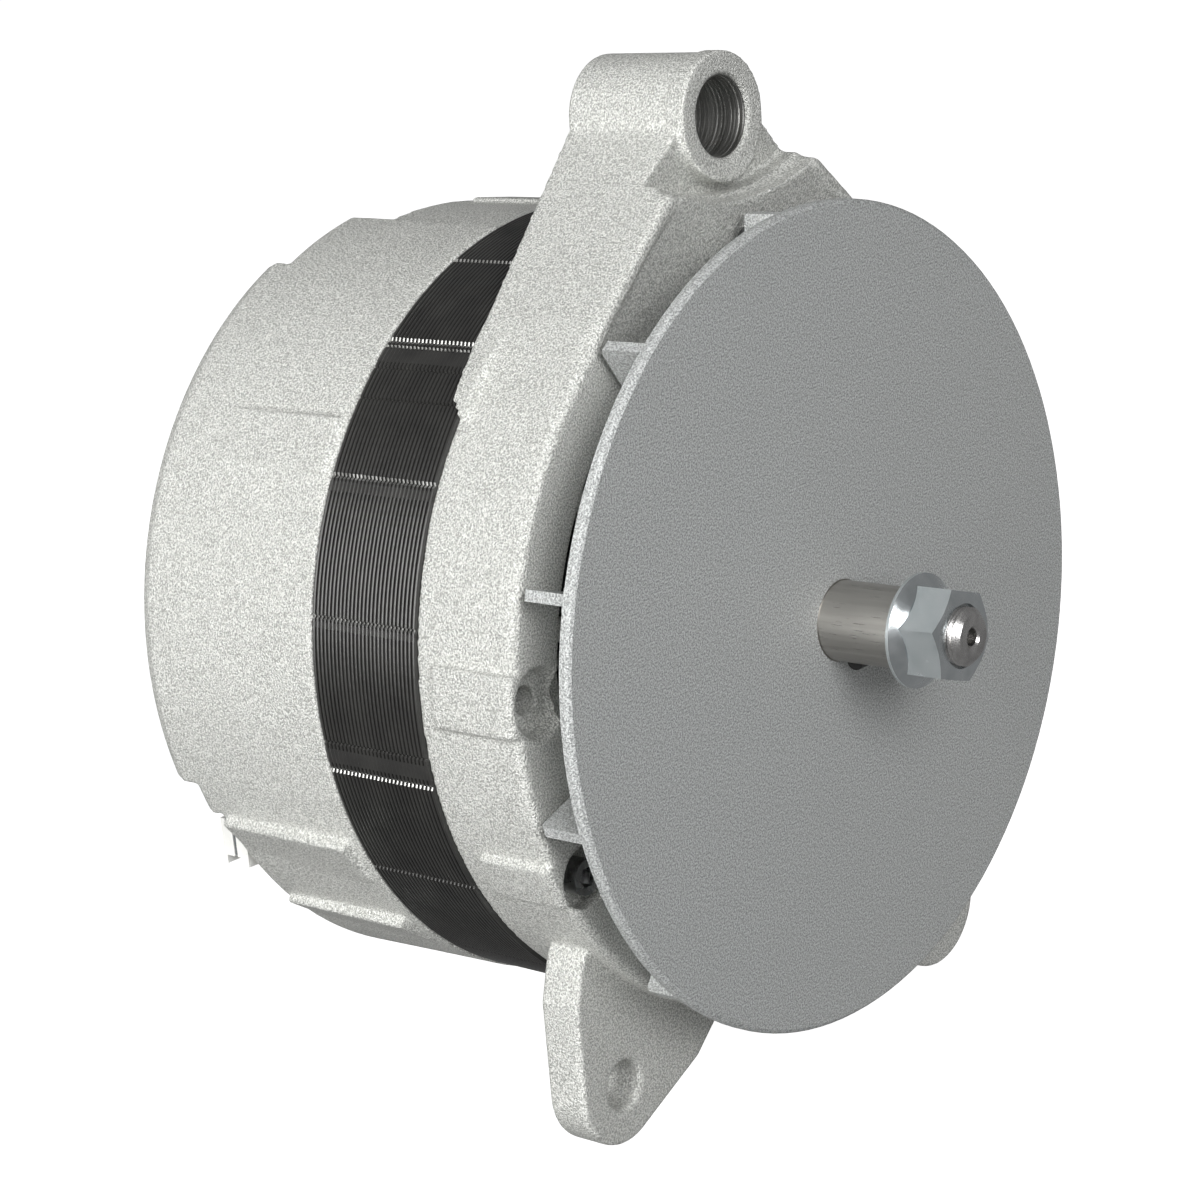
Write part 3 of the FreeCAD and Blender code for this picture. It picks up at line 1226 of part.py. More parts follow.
def make_heat_sinks():
    """Two curved plates one behind the other, each with three diodes; the output stud is on the rear one."""
    sinks = []
    for sign in ("positive", "negative"):
        sink = body(f"{sign}_heat_sink")
        start = f"{sign}_sink_start"
        turn(sink, f"{sign.title()}Plate", box_corners(start, f"{start} + sink_thickness", "sink_inner",
                                                       "sink_outer"),
             turned="stud_turned", span="sink_span")
        for number, turned in enumerate(POST_ANGLES, 1):
            sink_face(sink, f"{sign.title()}PostHole{number}", f"{start} - 1", "sink_thickness + 2",
                      draw_circle("0", "post_circle", "post_screw_radius + 0.1"), turned=turned)
        if sign == "positive":
            sink_face(sink, "StudHole", f"{start} - 1", "sink_thickness + 2",
                      draw_circle("0", "stud_circle", "stud_body_radius + 0.05"), turned="stud_turned")
        else:
            sink_face(sink, "StudClearance", f"{start} - 1", "sink_thickness + 2",
                      draw_circle("0", "stud_circle", "stud_nut_flats * 0.7"), turned="stud_turned")
        sinks.append(sink)
    return sinks


def make_diodes():
    """Button diodes on the front of each heat sink, each with its lead."""
    groups = []
    for sign in ("positive", "negative"):
        group = body(f"{sign}_diodes")
        start = f"{sign}_sink_start"
        for number in range(3):
            turned = f"stud_turned + {number - 1} * diode_pitch"
            raise_face(group, f"{sign.title()}Diode{number + 1}", start, "diode_height",
                       draw_circle("0", "diode_circle", "diode_radius"), turned=turned, to_front=True)
            raise_face(group, f"{sign.title()}Lead{number + 1}", start, "diode_height + diode_lead",
                       draw_circle("0", "diode_circle", "diode_lead_radius"), turned=turned, to_front=True)
        groups.append(group)
    return groups


def make_diode_trio():
    trio = body("diode_trio")
    raise_face(trio, "TrioBlock", "negative_sink_start", "trio_length",
               draw_box("-trio_width / 2", "trio_width / 2", "post_circle - trio_tall / 2",
                        "post_circle + trio_tall / 2 - 2"),
               turned="stud_turned", to_front=True)
    sink_face(trio, "TrioScrewHole", "negative_sink_start - trio_length - 1", "trio_length + 2",
              draw_circle("0", "post_circle", "post_screw_radius + 0.1"), turned="stud_turned")
    return trio


def make_rectifier_insulators():
    """Sleeves that keep the heat sinks apart from each other and from the housing."""
    sleeves = body("rectifier_insulators")
    gaps = (("negative_sink_start + sink_thickness", "positive_sink_start"),
            ("positive_sink_start + sink_thickness", "deep_end - rear_wall"))
    for place, (start, end) in enumerate(gaps, 1):
        for number, turned in enumerate(POST_ANGLES, 1):
            raise_face(sleeves, f"Sleeve{place}{number}", start, f"{end} - ({start})",
                       draw_circle("0", "post_circle", "post_radius"), turned=turned)
            sink_face(sleeves, f"SleeveHole{place}{number}", f"{start} - 1", f"{end} - ({start}) + 2",
                      draw_circle("0", "post_circle", "post_screw_radius + 0.1"), turned=turned)
    return sleeves


def make_rectifier_screws():
    """The middle screw also holds the diode trio, so its head stands further forward."""
    screws = body("rectifier_screws")
    for number, turned in enumerate(POST_ANGLES, 1):
        head = "negative_sink_start - trio_length" if number == 2 else "negative_sink_start"
        raise_face(screws, f"PostScrew{number}", head, f"deep_end - 3 - ({head})",
                   draw_circle("0", "post_circle", "post_screw_radius"), turned=turned)
        raise_face(screws, f"PostScrewHead{number}", head, "post_screw_radius * 1.2",
                   draw_circle("0", "post_circle", "post_screw_radius * 1.9"), turned=turned, to_front=True)
    return screws


def make_output_terminal():
    stud = body("output_stud")
    raise_face(stud, "StudHead", "positive_sink_start", "stud_head",
               draw_hexagon("0", "stud_circle", "stud_nut_flats"), turned="stud_turned", to_front=True)
    raise_face(stud, "StudBody", "positive_sink_start - 1", "stud_body_end - positive_sink_start + 1",
               draw_circle("0", "stud_circle", "stud_body_radius"), turned="stud_turned")
    raise_face(stud, "StudEnd", "stud_body_end - 1", "stud_tip - stud_body_end + 1",
               draw_circle("0", "stud_circle", "stud_radius"), turned="stud_turned")
    ease_edges(stud, "StudTip", "stud_radius * 0.25",
               lambda edge: isinstance(edge.Curve,
                                       Part.Circle) and edge.Curve.Center.y > size("stud_tip - 0.1"),
               flat=True)
    insulator = body("output_insulator")
    raise_face(insulator, "InsulatorInside", "positive_sink_start + sink_thickness",
               "deep_end - rear_wall - positive_sink_start - sink_thickness",
               draw_circle("0", "stud_circle", "insulator_radius * 0.85"), turned="stud_turned")
    raise_face(insulator, "InsulatorNeck", "deep_end - rear_wall - 1", "rear_wall + 2",
               draw_circle("0", "stud_circle", "stud_body_radius + 2 - seat_gap"), turned="stud_turned")
    raise_face(insulator, "InsulatorFlange", "deep_end", "insulator_height",
               draw_circle("0", "stud_circle", "insulator_radius"), turned="stud_turned")
    sink_face(insulator, "InsulatorBore", "positive_sink_start", "insulator_height + deep_end",
              draw_circle("0", "stud_circle", "stud_body_radius + 0.05"), turned="stud_turned")
    nut = body("output_nut")
    nut_start = "deep_end + insulator_height"
    raise_face(nut, "OutputNutHex", nut_start, "stud_nut_height",
               draw_hexagon("0", "stud_circle", "stud_nut_flats"), turned="stud_turned")
    sink_face(nut, "OutputNutBore", f"{nut_start} - 1", "stud_nut_height + 2",
              draw_circle("0", "stud_circle", "stud_body_radius + seat_gap"), turned="stud_turned")
    return [stud, insulator, nut]


def raise_small_screw(owner, label, across, up, under_head, turned):
    """Screw with a round head on the side of the cavity, its shank in the rear wall."""
    wall = "rear_end - rear_wall"
    raise_face(owner, f"{label}Shank", under_head, f"{wall} + small_screw_reach - ({under_head})",
               draw_circle(across, up, "small_screw_radius"), turned=turned)
    raise_face(owner, f"{label}Head", under_head, "small_screw_head_height",
               draw_circle(across, up, "small_screw_head"), turned=turned, to_front=True)


def make_regulator():
    """Potted block with a finned front, held to the rear wall by two screws through its ears."""
    block = body("regulator")
    screws = body("regulator_screws")
    wall = "rear_end - rear_wall"
    half = "regulator_width / 2"
    low = "regulator_circle - regulator_tall / 2"
    turned = "regulator_turned"
    raise_face(block, "RegulatorBlock", f"{wall} - regulator_length", "regulator_length",
               draw_box(f"-{half} + regulator_ear", f"{half} - regulator_ear", low,
                        f"{low} + regulator_tall"),
               turned=turned)
    raise_face(block, "RegulatorEars", f"{wall} - regulator_ear_thickness", "regulator_ear_thickness",
               draw_box(f"-{half}", half, "regulator_circle - regulator_ear_half",
                        "regulator_circle + regulator_ear_half"), turned=turned)
    for number in range(4):
        start = f"{low} + regulator_fin_gap + {number} * regulator_fin_pitch"
        sink_face(block, f"RegulatorFin{number + 1}", f"{wall} - regulator_length - 1",
                  "regulator_fin_depth + 1",
                  draw_box(f"-{half}", half, start, f"{start} + regulator_fin_gap"), turned=turned)
    for side, sign in (("Left", "-"), ("Right", "")):
        across = f"{sign}(regulator_width - regulator_ear) / 2"
        sink_face(block, f"Regulator{side}Hole", f"{wall} - regulator_ear_thickness - 1",
                  "regulator_ear_thickness + 2",
                  draw_circle(across, "regulator_circle", "small_screw_radius + 0.2"), turned=turned)
        raise_small_screw(screws, f"Regulator{side}Screw", across, "regulator_circle",
                          f"{wall} - regulator_ear_thickness", turned)
    return [block, screws]


def make_capacitor():
    """Suppression capacitor with its end on the rear wall, in a strap screwed to the wall."""
    wall = "rear_end - rear_wall"
    turned = "capacitor_turned"
    can = body("capacitor")
    raise_face(can, "Can", f"{wall} - capacitor_length", "capacitor_length",
               draw_circle("0", "capacitor_circle", "capacitor_radius"), turned=turned)
    ease_edges(can, "CanEdge", "capacitor_edge", lambda edge: isinstance(edge.Curve, Part.Circle))
    strap = body("capacitor_strap")
    raise_face(strap, "StrapRing", f"{wall} - strap_width", "strap_width",
               draw_circle("0", "capacitor_circle", STRAP_OUTER), turned=turned)
    raise_face(strap, "StrapFoot", f"{wall} - capacitor_strap", "capacitor_strap",
               draw_box("0", f"{STRAP_OUTER} + strap_foot", "capacitor_circle - strap_foot / 2",
                        "capacitor_circle + strap_foot / 2"), turned=turned)
    sink_face(strap, "StrapBore", f"{wall} - strap_width - 1", "strap_width + 2",
              draw_circle("0", "capacitor_circle", "capacitor_radius + seat_gap"), turned=turned)
    sink_face(strap, "StrapHole", f"{wall} - capacitor_strap - 1", "capacitor_strap + 2",
              draw_circle(STRAP_SCREW, "capacitor_circle", "small_screw_radius + 0.2"), turned=turned)
    screw = body("capacitor_screw")
    raise_small_screw(screw, "StrapScrew", STRAP_SCREW, "capacitor_circle", f"{wall} - capacitor_strap",
                      turned)
    return [can, strap, screw]


def make_ground_screw():
    screw = body("ground_screw")
    raise_face(screw, "GroundShank", "rear_end - rear_wall", "rear_wall + 1",
               draw_circle("0", "ground_circle", "ground_radius"), turned="ground_turned")
    raise_face(screw, "GroundHead", "rear_end", "ground_radius * 1.4",
               draw_hexagon("0", "ground_circle", "ground_radius * 3.3"), turned="ground_turned")
    return screw


def make_relay_connector():
    """Shell on the rear wall, open below, with a looped terminal in a slot of its outer side."""
    shell = body("relay_connector")
    half = "connector_width / 2"
    tall = "connector_tall / 2"
    middle = "rear_end + connector_length / 2"
    raise_face(shell, "ConnectorShell", "rear_end", "connector_length",
               draw_box(f"-{half}", half, f"-{tall}", tall))
    sink_face(shell, "ConnectorHollow", "rear_end + connector_wall", "connector_length - 2 * connector_wall",
              draw_box(f"-{half} + connector_wall", f"{half} - connector_wall",
                       f"-{tall} - 1", f"{tall} - connector_wall"))
    sink_face(shell, "ConnectorWindow", "rear_end + connector_wall", "connector_length - 2 * connector_wall",
              draw_box(f"-{half} - 1", "0", f"-{tall} - 1", f"-{tall} + connector_window"))
    sink_face(shell, "TerminalSlot", f"{middle} - connector_slot / 2", "connector_slot",
              draw_box(f"-{half} - 1", f"-{half} + terminal_depth + 0.4", f"-{tall}", f"{tall} + 1"))
    terminal = body("relay_terminal")
    start = f"{middle} - terminal_thickness / 2"
    raise_face(terminal, "TerminalBlade", start, "terminal_thickness",
               draw_box(f"-{half} + 0.2", f"-{half} + terminal_depth", f"-{tall} + connector_window + 0.4",
                        tall))
    raise_face(terminal, "TerminalLoop", start, "terminal_thickness",
               draw_circle(f"-{half}", tall, "terminal_loop_radius"))
    sink_face(terminal, "TerminalEye", f"{start} - 1", "terminal_thickness + 2",
              draw_circle(f"-{half}", tall, "terminal_eye_radius"))
    for piece in (shell, terminal):
        bind(piece, ".Placement.Base.x", "-connector_circle * sin(connector_turned)")
        bind(piece, ".Placement.Base.z", "connector_circle * cos(connector_turned)")
    return [shell, terminal]


PIECES = [make_shaft(), make_key(), make_nut(), make_fan(), make_fan_spacer(), make_front_poles(),
          make_rear_poles(), make_joining_ring()]
PIECES += make_bearing("front", 7)
PIECES += make_bearing("rear", 8)
PIECES += [make_drive_end_housing(), make_retainer(), make_stator_core(), make_slot_liners(), make_winding()]
PIECES += make_field()
PIECES += [make_rear_housing(), make_bearing_cap()]
PIECES += make_heat_sinks()
PIECES += make_diodes()
PIECES += [make_diode_trio(), make_rectifier_insulators(), make_rectifier_screws()]
PIECES += make_output_terminal()
PIECES += make_regulator()
PIECES += make_capacitor()
PIECES += [make_ground_screw()]
PIECES += make_relay_connector()
PIECES += [
    make_screws("bearing_retainer_screws", "RetainerScrew", "web_front",
                "front_bearing_start + front_bearing_width + retainer_thickness", "retainer_screw_circle",
                "retainer_screw_radius", "retainer_screw_radius * 1.8", "2.6", "4"),
    make_screws("field_support_screws", "FieldScrew", "rear_bearing_start - 5 - field_flange",
                "rear_bearing_start + 8",
                "field_screw_circle", "field_screw_radius", "field_screw_radius * 1.7", "3.2", "3"),
    make_screws("through_bolts", "ThroughBolt", "case_front + recess_depth", "bolt_end", "bolt_circle",
                "bolt_radius", "bolt_head_radius", "bolt_head_height", "bolt_count", turned="bolt_turned"),
]


def check_and_write():
    doc.recompute()
    failed = [thing.Name for thing in doc.Objects if {"Invalid", "Error"} & set(thing.State)]
    if failed:
        raise RuntimeError(f"objects not built: {failed}")
    bad = [piece.Label for piece in PIECES if piece.Shape.isNull() or not piece.Shape.isValid()]
    if bad:
        raise RuntimeError(f"shapes not valid: {bad}")
    os.makedirs("parts", exist_ok=True)
    for piece in PIECES:
        piece.Shape.exportStep(f"parts/{piece.Label}.step")
        print(piece.Label, len(piece.Shape.Solids), "solids", round(piece.Shape.Volume))


check_and_write()
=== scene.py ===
"""Looks of the alternator: finishes, rounded castings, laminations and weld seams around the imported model.

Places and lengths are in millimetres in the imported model's frame, unless metres are named. The shaft runs along Y
with the drive end at -Y, and the hinge ear stands at +Z. An angle named turned is in degrees, from +Z towards -X.
"""
import json
from math import cos, radians, sin, sqrt, tan

import bmesh
import bpy
from mathutils import Matrix, Vector


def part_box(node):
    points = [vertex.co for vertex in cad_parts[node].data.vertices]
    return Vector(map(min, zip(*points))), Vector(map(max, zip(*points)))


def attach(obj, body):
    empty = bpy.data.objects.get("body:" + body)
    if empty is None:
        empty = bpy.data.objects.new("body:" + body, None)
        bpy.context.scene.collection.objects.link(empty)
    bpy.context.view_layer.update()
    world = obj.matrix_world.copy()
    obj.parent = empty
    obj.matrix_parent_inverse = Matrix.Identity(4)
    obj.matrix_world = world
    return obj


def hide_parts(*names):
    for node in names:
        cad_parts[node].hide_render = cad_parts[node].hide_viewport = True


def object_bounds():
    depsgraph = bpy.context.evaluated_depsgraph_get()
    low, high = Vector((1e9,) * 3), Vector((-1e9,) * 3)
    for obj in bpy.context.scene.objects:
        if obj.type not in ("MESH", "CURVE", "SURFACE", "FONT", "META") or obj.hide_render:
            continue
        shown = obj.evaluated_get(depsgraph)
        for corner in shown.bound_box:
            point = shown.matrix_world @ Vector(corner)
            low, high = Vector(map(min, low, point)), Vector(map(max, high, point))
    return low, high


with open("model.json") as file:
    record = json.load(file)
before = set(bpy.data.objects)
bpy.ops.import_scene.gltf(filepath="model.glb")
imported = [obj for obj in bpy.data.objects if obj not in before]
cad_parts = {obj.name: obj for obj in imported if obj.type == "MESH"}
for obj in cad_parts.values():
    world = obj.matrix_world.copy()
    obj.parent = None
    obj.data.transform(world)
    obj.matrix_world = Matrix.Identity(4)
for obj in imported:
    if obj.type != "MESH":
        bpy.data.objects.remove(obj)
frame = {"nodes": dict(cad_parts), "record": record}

MM = 0.001
CAD_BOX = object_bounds()
NODES = frame["nodes"]

# Camera, as the photograph was taken
CAMERA_PLACE = (-640.2, -477.7, 227.0)
CAMERA_RIGHT = (0.64071, -0.7627, -0.08827)
CAMERA_UP = (0.25529, 0.1032, 0.96134)
CAMERA_FORWARD = (0.7241, 0.63847, -0.26083)
CAMERA_LENS = 91.175
CAMERA_SENSOR = 36
CAMERA_REACH_METRES = 100

# Studio, in metres and watts
ROOM_STRENGTH = 0.2
LIGHT_TARGET = (0, 0.06, 0)
LEFT_LIGHT = {"place": (-2.5, 0.1, 0.6), "side": 1.7, "power": 80, "colour": (1, 1, 0.985)}
FRONT_LIGHT = {"place": (-1.3, -2.1, 1.2), "side": 1.3, "power": 60, "colour": (1, 1, 1)}
FLOOR_REACH = 30.0
FLOOR_DROP = 0.0015
FLOOR_SHADE = 0.82
FLOOR_ROUGHNESS = 0.9
FLOOR_SPECULAR = 0.2
FLOOR_GLOW = 0.85


def make_camera():
    camera = bpy.data.objects.new("camera", bpy.data.cameras.new("camera"))
    camera.data.lens = CAMERA_LENS
    camera.data.sensor_width = CAMERA_SENSOR
    camera.data.clip_end = CAMERA_REACH_METRES
    columns = [Vector(CAMERA_RIGHT), Vector(CAMERA_UP), -Vector(CAMERA_FORWARD)]
    turned = Matrix([[column[row] for column in columns] for row in range(3)])
    camera.matrix_world = Matrix.Translation(Vector(CAMERA_PLACE) * MM) @ turned.to_4x4()
    bpy.context.scene.collection.objects.link(camera)
    bpy.context.scene.camera = camera
    bpy.context.scene.view_settings.view_transform = "Standard"


def make_light(name, place, side, power, colour):
    """Square soft box that faces the object."""
    light = bpy.data.lights.new(name, "AREA")
    light.shape = "SQUARE"
    light.size = side
    light.energy = power
    light.color = colour
    lamp = bpy.data.objects.new(name, light)
    lamp.location = place
    lamp.rotation_euler = (Vector(LIGHT_TARGET) - Vector(place)).to_track_quat("-Z", "Y").to_euler()
    bpy.context.scene.collection.objects.link(lamp)


def make_studio():
    """Large soft box to the left of the object, a smaller one in front of it and a dim room."""
    world = bpy.data.worlds.new("studio")
    world.use_nodes = True
    room = world.node_tree.nodes["Background"]
    room.inputs["Color"].default_value = (1, 1, 1, 1)
    room.inputs["Strength"].default_value = ROOM_STRENGTH
    bpy.context.scene.world = world
    make_light("left_light", **LEFT_LIGHT)
    make_light("front_light", **FRONT_LIGHT)


def make_floor():
    """Pale glowing floor that the camera sees, and that neither lights the object nor shows in its gloss."""
    low = CAD_BOX[0][2] - FLOOR_DROP
    corners = [(-FLOOR_REACH, -FLOOR_REACH, low), (FLOOR_REACH, -FLOOR_REACH, low),
               (FLOOR_REACH, FLOOR_REACH, low), (-FLOOR_REACH, FLOOR_REACH, low)]
    mesh = bpy.data.meshes.new("floor")
    mesh.from_pydata(corners, [], [(0, 1, 2, 3)])
    floor = bpy.data.objects.new("floor", mesh)
    bpy.context.scene.collection.objects.link(floor)
    material = bpy.data.materials.new("pale_floor")
    material.use_nodes = True
    shader = material.node_tree.nodes["Principled BSDF"]
    shader.inputs["Base Color"].default_value = (*grey(FLOOR_SHADE), 1)
    shader.inputs["Roughness"].default_value = FLOOR_ROUGHNESS
    shader.inputs["Specular IOR Level"].default_value = FLOOR_SPECULAR
    shader.inputs["Emission Color"].default_value = (1, 1, 1, 1)
    shader.inputs["Emission Strength"].default_value = FLOOR_GLOW
    mesh.materials.append(material)
    floor.visible_diffuse = False
    floor.visible_glossy = False


# Materials

# Part of the noise's range over which a colour or a gloss runs from end to end
NOISE_SPAN = (0.3, 0.7)
CAST_GRAIN_ROUGHNESS = 0.65
CAST_GRAIN_SPAN = (0.4, 0.6)
CAST_WAVE_SIZE = 22
CAST_WAVE_DEPTH = 0.25
BROAD_STREAKS = 9
STREAK_DEPTH = 0.012
CLOUD_SIZE = 5
PLATING_GRAIN = 0.8
PLATING_DEPTH = 0.008
MOTTLE_SIZE = 9
COAT_ROUGHNESS = 0.25
# How far the roughness falls and rises over a surface
CAST_SHEEN = (0.05, 0.08)
BRUSHED_SHEEN = (0.08, 0.12)
PLATED_SHEEN = (0.05, 0.08)
DULL_SHEEN = (0.07, 0.07)
# Place on the shaft in front of which its faces have the finish of the thread
THREAD_START = -25.3


def grey(shade):
    return (shade, shade, shade)


class Shading:
    """One material under construction: its nodes, its shader and a chain of bumps."""

    def __init__(self, name):
        self.material = bpy.data.materials.new(name)
        self.material.use_nodes = True
        self.tree = self.material.node_tree
        self.shader = self.tree.nodes["Principled BSDF"]
        self.coordinates = self.tree.nodes.new("ShaderNodeTexCoord").outputs["Object"]
        self.normal = None

    def link(self, source, target):
        self.tree.links.new(source, target)

    def noise(self, size, detail=2.0, roughness=0.5, stretch=(1, 1, 1)):
        """Noise whose largest grains have the given size."""
        mapping = self.tree.nodes.new("ShaderNodeMapping")
        mapping.inputs["Scale"].default_value = stretch
        self.link(self.coordinates, mapping.inputs["Vector"])
        made = self.tree.nodes.new("ShaderNodeTexNoise")
        made.inputs["Scale"].default_value = 1 / (size * MM)
        made.inputs["Detail"].default_value = detail
        made.inputs["Roughness"].default_value = roughness
        self.link(mapping.outputs["Vector"], made.inputs["Vector"])
        return made.outputs["Fac"]

    def colour(self, source, dark, light, span=NOISE_SPAN):
        """Colour that runs from dark to light over the span of the source."""
        made = self.tree.nodes.new("ShaderNodeValToRGB")
        made.color_ramp.elements[0].position = span[0]
        made.color_ramp.elements[1].position = span[1]
        made.color_ramp.elements[0].color = (*dark, 1)
        made.color_ramp.elements[1].color = (*light, 1)
        self.link(source, made.inputs["Fac"])
        self.link(made.outputs["Color"], self.shader.inputs["Base Color"])

    def gloss(self, source, roughness, sheen):
        """Roughness that falls and rises by the two amounts of the sheen."""
        made = self.tree.nodes.new("ShaderNodeMapRange")
        made.inputs["From Min"].default_value = NOISE_SPAN[0]
        made.inputs["From Max"].default_value = NOISE_SPAN[1]
        made.inputs["To Min"].default_value = roughness - sheen[0]
        made.inputs["To Max"].default_value = roughness + sheen[1]
        self.link(source, made.inputs["Value"])
        self.link(made.outputs["Result"], self.shader.inputs["Roughness"])

    def bump(self, height, depth):
        made = self.tree.nodes.new("ShaderNodeBump")
        made.inputs["Strength"].default_value = 1.0
        made.inputs["Distance"].default_value = depth * MM
        self.link(height, made.inputs["Height"])
        if self.normal:
            self.link(self.normal, made.inputs["Normal"])
        self.normal = made.outputs["Normal"]
        self.link(self.normal, self.shader.inputs["Normal"])

    def finish(self, metallic, coat=0.0):
        self.shader.inputs["Metallic"].default_value = metallic
        if coat:
            self.shader.inputs["Coat Weight"].default_value = coat
            self.shader.inputs["Coat Roughness"].default_value = COAT_ROUGHNESS
        return self.material


def cast_metal(name, dark, light, metallic, roughness, grain, depth):
    """Bead-blasted metal: pitted grain that also shows in the colour, and faint waviness of the casting."""
    made = Shading(name)
    pits = made.noise(grain, roughness=CAST_GRAIN_ROUGHNESS)
    made.colour(pits, dark, light, CAST_GRAIN_SPAN)
    made.gloss(pits, roughness, CAST_SHEEN)
    made.bump(made.noise(CAST_WAVE_SIZE), CAST_WAVE_DEPTH)
    made.bump(pits, depth)
    return made.finish(metallic)


def brushed_metal(name, dark, light, roughness, stretch, streak=0.35):
    """Ground or turned metal: long fine streaks that change the colour and the gloss."""
    made = Shading(name)
    fine = made.noise(streak, stretch=stretch)
    broad = made.noise(streak * BROAD_STREAKS, stretch=stretch)
    made.colour(broad, dark, light)
    made.gloss(fine, roughness, BRUSHED_SHEEN)
    made.bump(fine, STREAK_DEPTH)
    return made.finish(metallic=1.0)


def plated_metal(name, dark, light, roughness):
    """Bright plating with faint clouding."""
    made = Shading(name)
    cloud = made.noise(CLOUD_SIZE, detail=3)
    made.colour(cloud, dark, light)
    made.gloss(cloud, roughness, PLATED_SHEEN)
    made.bump(made.noise(PLATING_GRAIN), PLATING_DEPTH)
    return made.finish(metallic=1.0)


def dull_surface(name, dark, light, roughness, grain=0.5, depth=0.03, metallic=0.0, coat=0.0):
    """Plastic, paper, varnish or oxide: small grain over a mottled colour."""
    made = Shading(name)
    made.colour(made.noise(MOTTLE_SIZE, detail=3), dark, light)
    pits = made.noise(grain)
    made.gloss(pits, roughness, DULL_SHEEN)
    made.bump(pits, depth)
    return made.finish(metallic, coat)


def make_metals():
    return {
        "cast_aluminium": cast_metal("cast_aluminium", dark=(0.4, 0.405, 0.385), light=(0.88, 0.885, 0.855),
                                     metallic=0.5, roughness=0.46, grain=0.52, depth=0.7),
        "fan_steel": cast_metal("fan_coating", dark=(0.3, 0.31, 0.308), light=(0.68, 0.695, 0.692),
                                metallic=0.45, roughness=0.5, grain=0.5, depth=0.5),
        "turned_steel": brushed_metal("ground_steel", dark=(0.36, 0.345, 0.325), light=(0.5, 0.485, 0.46),
                                      roughness=0.34, stretch=(1, 0.04, 1)),
        "thread_steel": brushed_metal("thread_steel", dark=(0.5, 0.49, 0.485), light=(0.72, 0.71, 0.7),
                                      roughness=0.26, stretch=(1, 1, 1)),
        "bored_aluminium": brushed_metal("bored_aluminium", dark=(0.36, 0.36, 0.35), light=(0.5, 0.5, 0.485),
                                         roughness=0.42, stretch=(0.06, 1, 0.06), streak=0.9),
        "zinc_plated": plated_metal("zinc_plating", (0.72, 0.77, 0.79), (0.84, 0.88, 0.9), 0.2),
        "bolt_zinc": plated_metal("bolt_zinc", grey(0.2), (0.42, 0.43, 0.43), 0.25),
        "bearing_steel": plated_metal("bearing_steel", (0.55, 0.55, 0.56), (0.7, 0.7, 0.71), 0.15),
        # Seam steel: bare weld steel, made bright as a painted highlight of the notch faces that catch the light
        "seam_steel": plated_metal("seam_steel", (0.3, 0.3, 0.29), (0.6, 0.6, 0.59), 0.4),
        "stainless": plated_metal("stainless_steel", grey(0.45), grey(0.6), 0.3),
    }


def make_dull_finishes():
    return {
        "black_oxide": dull_surface("black_oxide", grey(0.012), grey(0.03), 0.4, metallic=0.6),
        "lamination": dull_surface("lamination_varnish", (0.014, 0.0135, 0.013), (0.024, 0.0235, 0.022),
                                   0.36, coat=0.35),
        "pole_steel": dull_surface("pole_steel", grey(0.05), grey(0.11), 0.45,
                                   grain=0.8, depth=0.05, metallic=0.8),
        "copper": dull_surface("varnished_copper", (0.3, 0.09, 0.03), (0.5, 0.19, 0.08), 0.3,
                               grain=0.8, depth=0.1, metallic=0.6),
        "insulation": dull_surface("insulating_paper", (0.5, 0.4, 0.22), (0.62, 0.52, 0.32), 0.75, grain=0.3),
        "black_plastic": dull_surface("moulded_black", (0.015, 0.015, 0.016), (0.03, 0.03, 0.031), 0.45),
        "nylon": dull_surface("natural_nylon", (0.74, 0.74, 0.72), (0.84, 0.84, 0.82), 0.4,
                              grain=0.6, depth=0.02),
        "phenolic": dull_surface("phenolic", (0.1, 0.03, 0.015), (0.16, 0.05, 0.025), 0.4),
    }


def dress_nodes(materials):
    """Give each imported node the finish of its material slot."""
    slots = {entry["node"]: entry["material_slot"] for entry in frame["record"]["subparts"]}
    for name, thing in NODES.items():
        thing.data.materials.clear()
        thing.data.materials.append(materials[slots[name]])
        for polygon in thing.data.polygons:
            polygon.material_index = 0


def dress_faces(node, material, wanted):
    """Give a second finish to the faces of a node whose centre is wanted."""
    mesh = NODES[node].data
    mesh.materials.append(material)
    number = len(mesh.materials) - 1
    for polygon in mesh.polygons:
        if wanted(polygon.center / MM):
            polygon.material_index = number


# Helpers for the pieces

RING_STEPS = 96


def new_piece(name, mesh, materials):
    """Piece of the frame body with its finishes."""
    piece = bpy.data.objects.new(name, mesh)
    bpy.context.scene.collection.objects.link(piece)
    for material in materials:
        mesh.materials.append(material)
    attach(piece, "frame")
    return piece


def as_mesh(shape, name):
    """Mesh data of a bmesh, which is freed."""
    mesh = bpy.data.meshes.new(name)
    shape.to_mesh(mesh)
    shape.free()
    return mesh


def on_circle(turned, radius, centre_z=0.0):
    """Point (x, z) of a circle round an axis along the shaft."""
    return (-radius * sin(radians(turned)), centre_z + radius * cos(radians(turned)))


def on_axis_circle(turned, along, radius, centre_z=0.0):
    """Point (x, y, z) in metres of a circle round an axis along the shaft, at a place on that axis."""
    x, z = on_circle(turned, radius, centre_z)
    return (x * MM, along * MM, z * MM)


def prism(corners, near, far, lean=0.0, level=0.0):
    """Closed block with an outline of (x, z) corners. Its rear is at far at the level, and leans with height."""
    block = bmesh.new()
    front = [block.verts.new((x * MM, near * MM, z * MM)) for x, z in corners]
    back = [block.verts.new((x * MM, (far + (z - level) * lean) * MM, z * MM)) for x, z in corners]
    block.faces.new(front)
    block.faces.new(list(reversed(back)))
    for i in range(len(corners)):
        j = (i + 1) % len(corners)
        block.faces.new((front[i], back[i], back[j], front[j]))
    bmesh.ops.triangulate(block, faces=block.faces)
    bmesh.ops.recalc_face_normals(block, faces=block.faces)
    return as_mesh(block, "block")


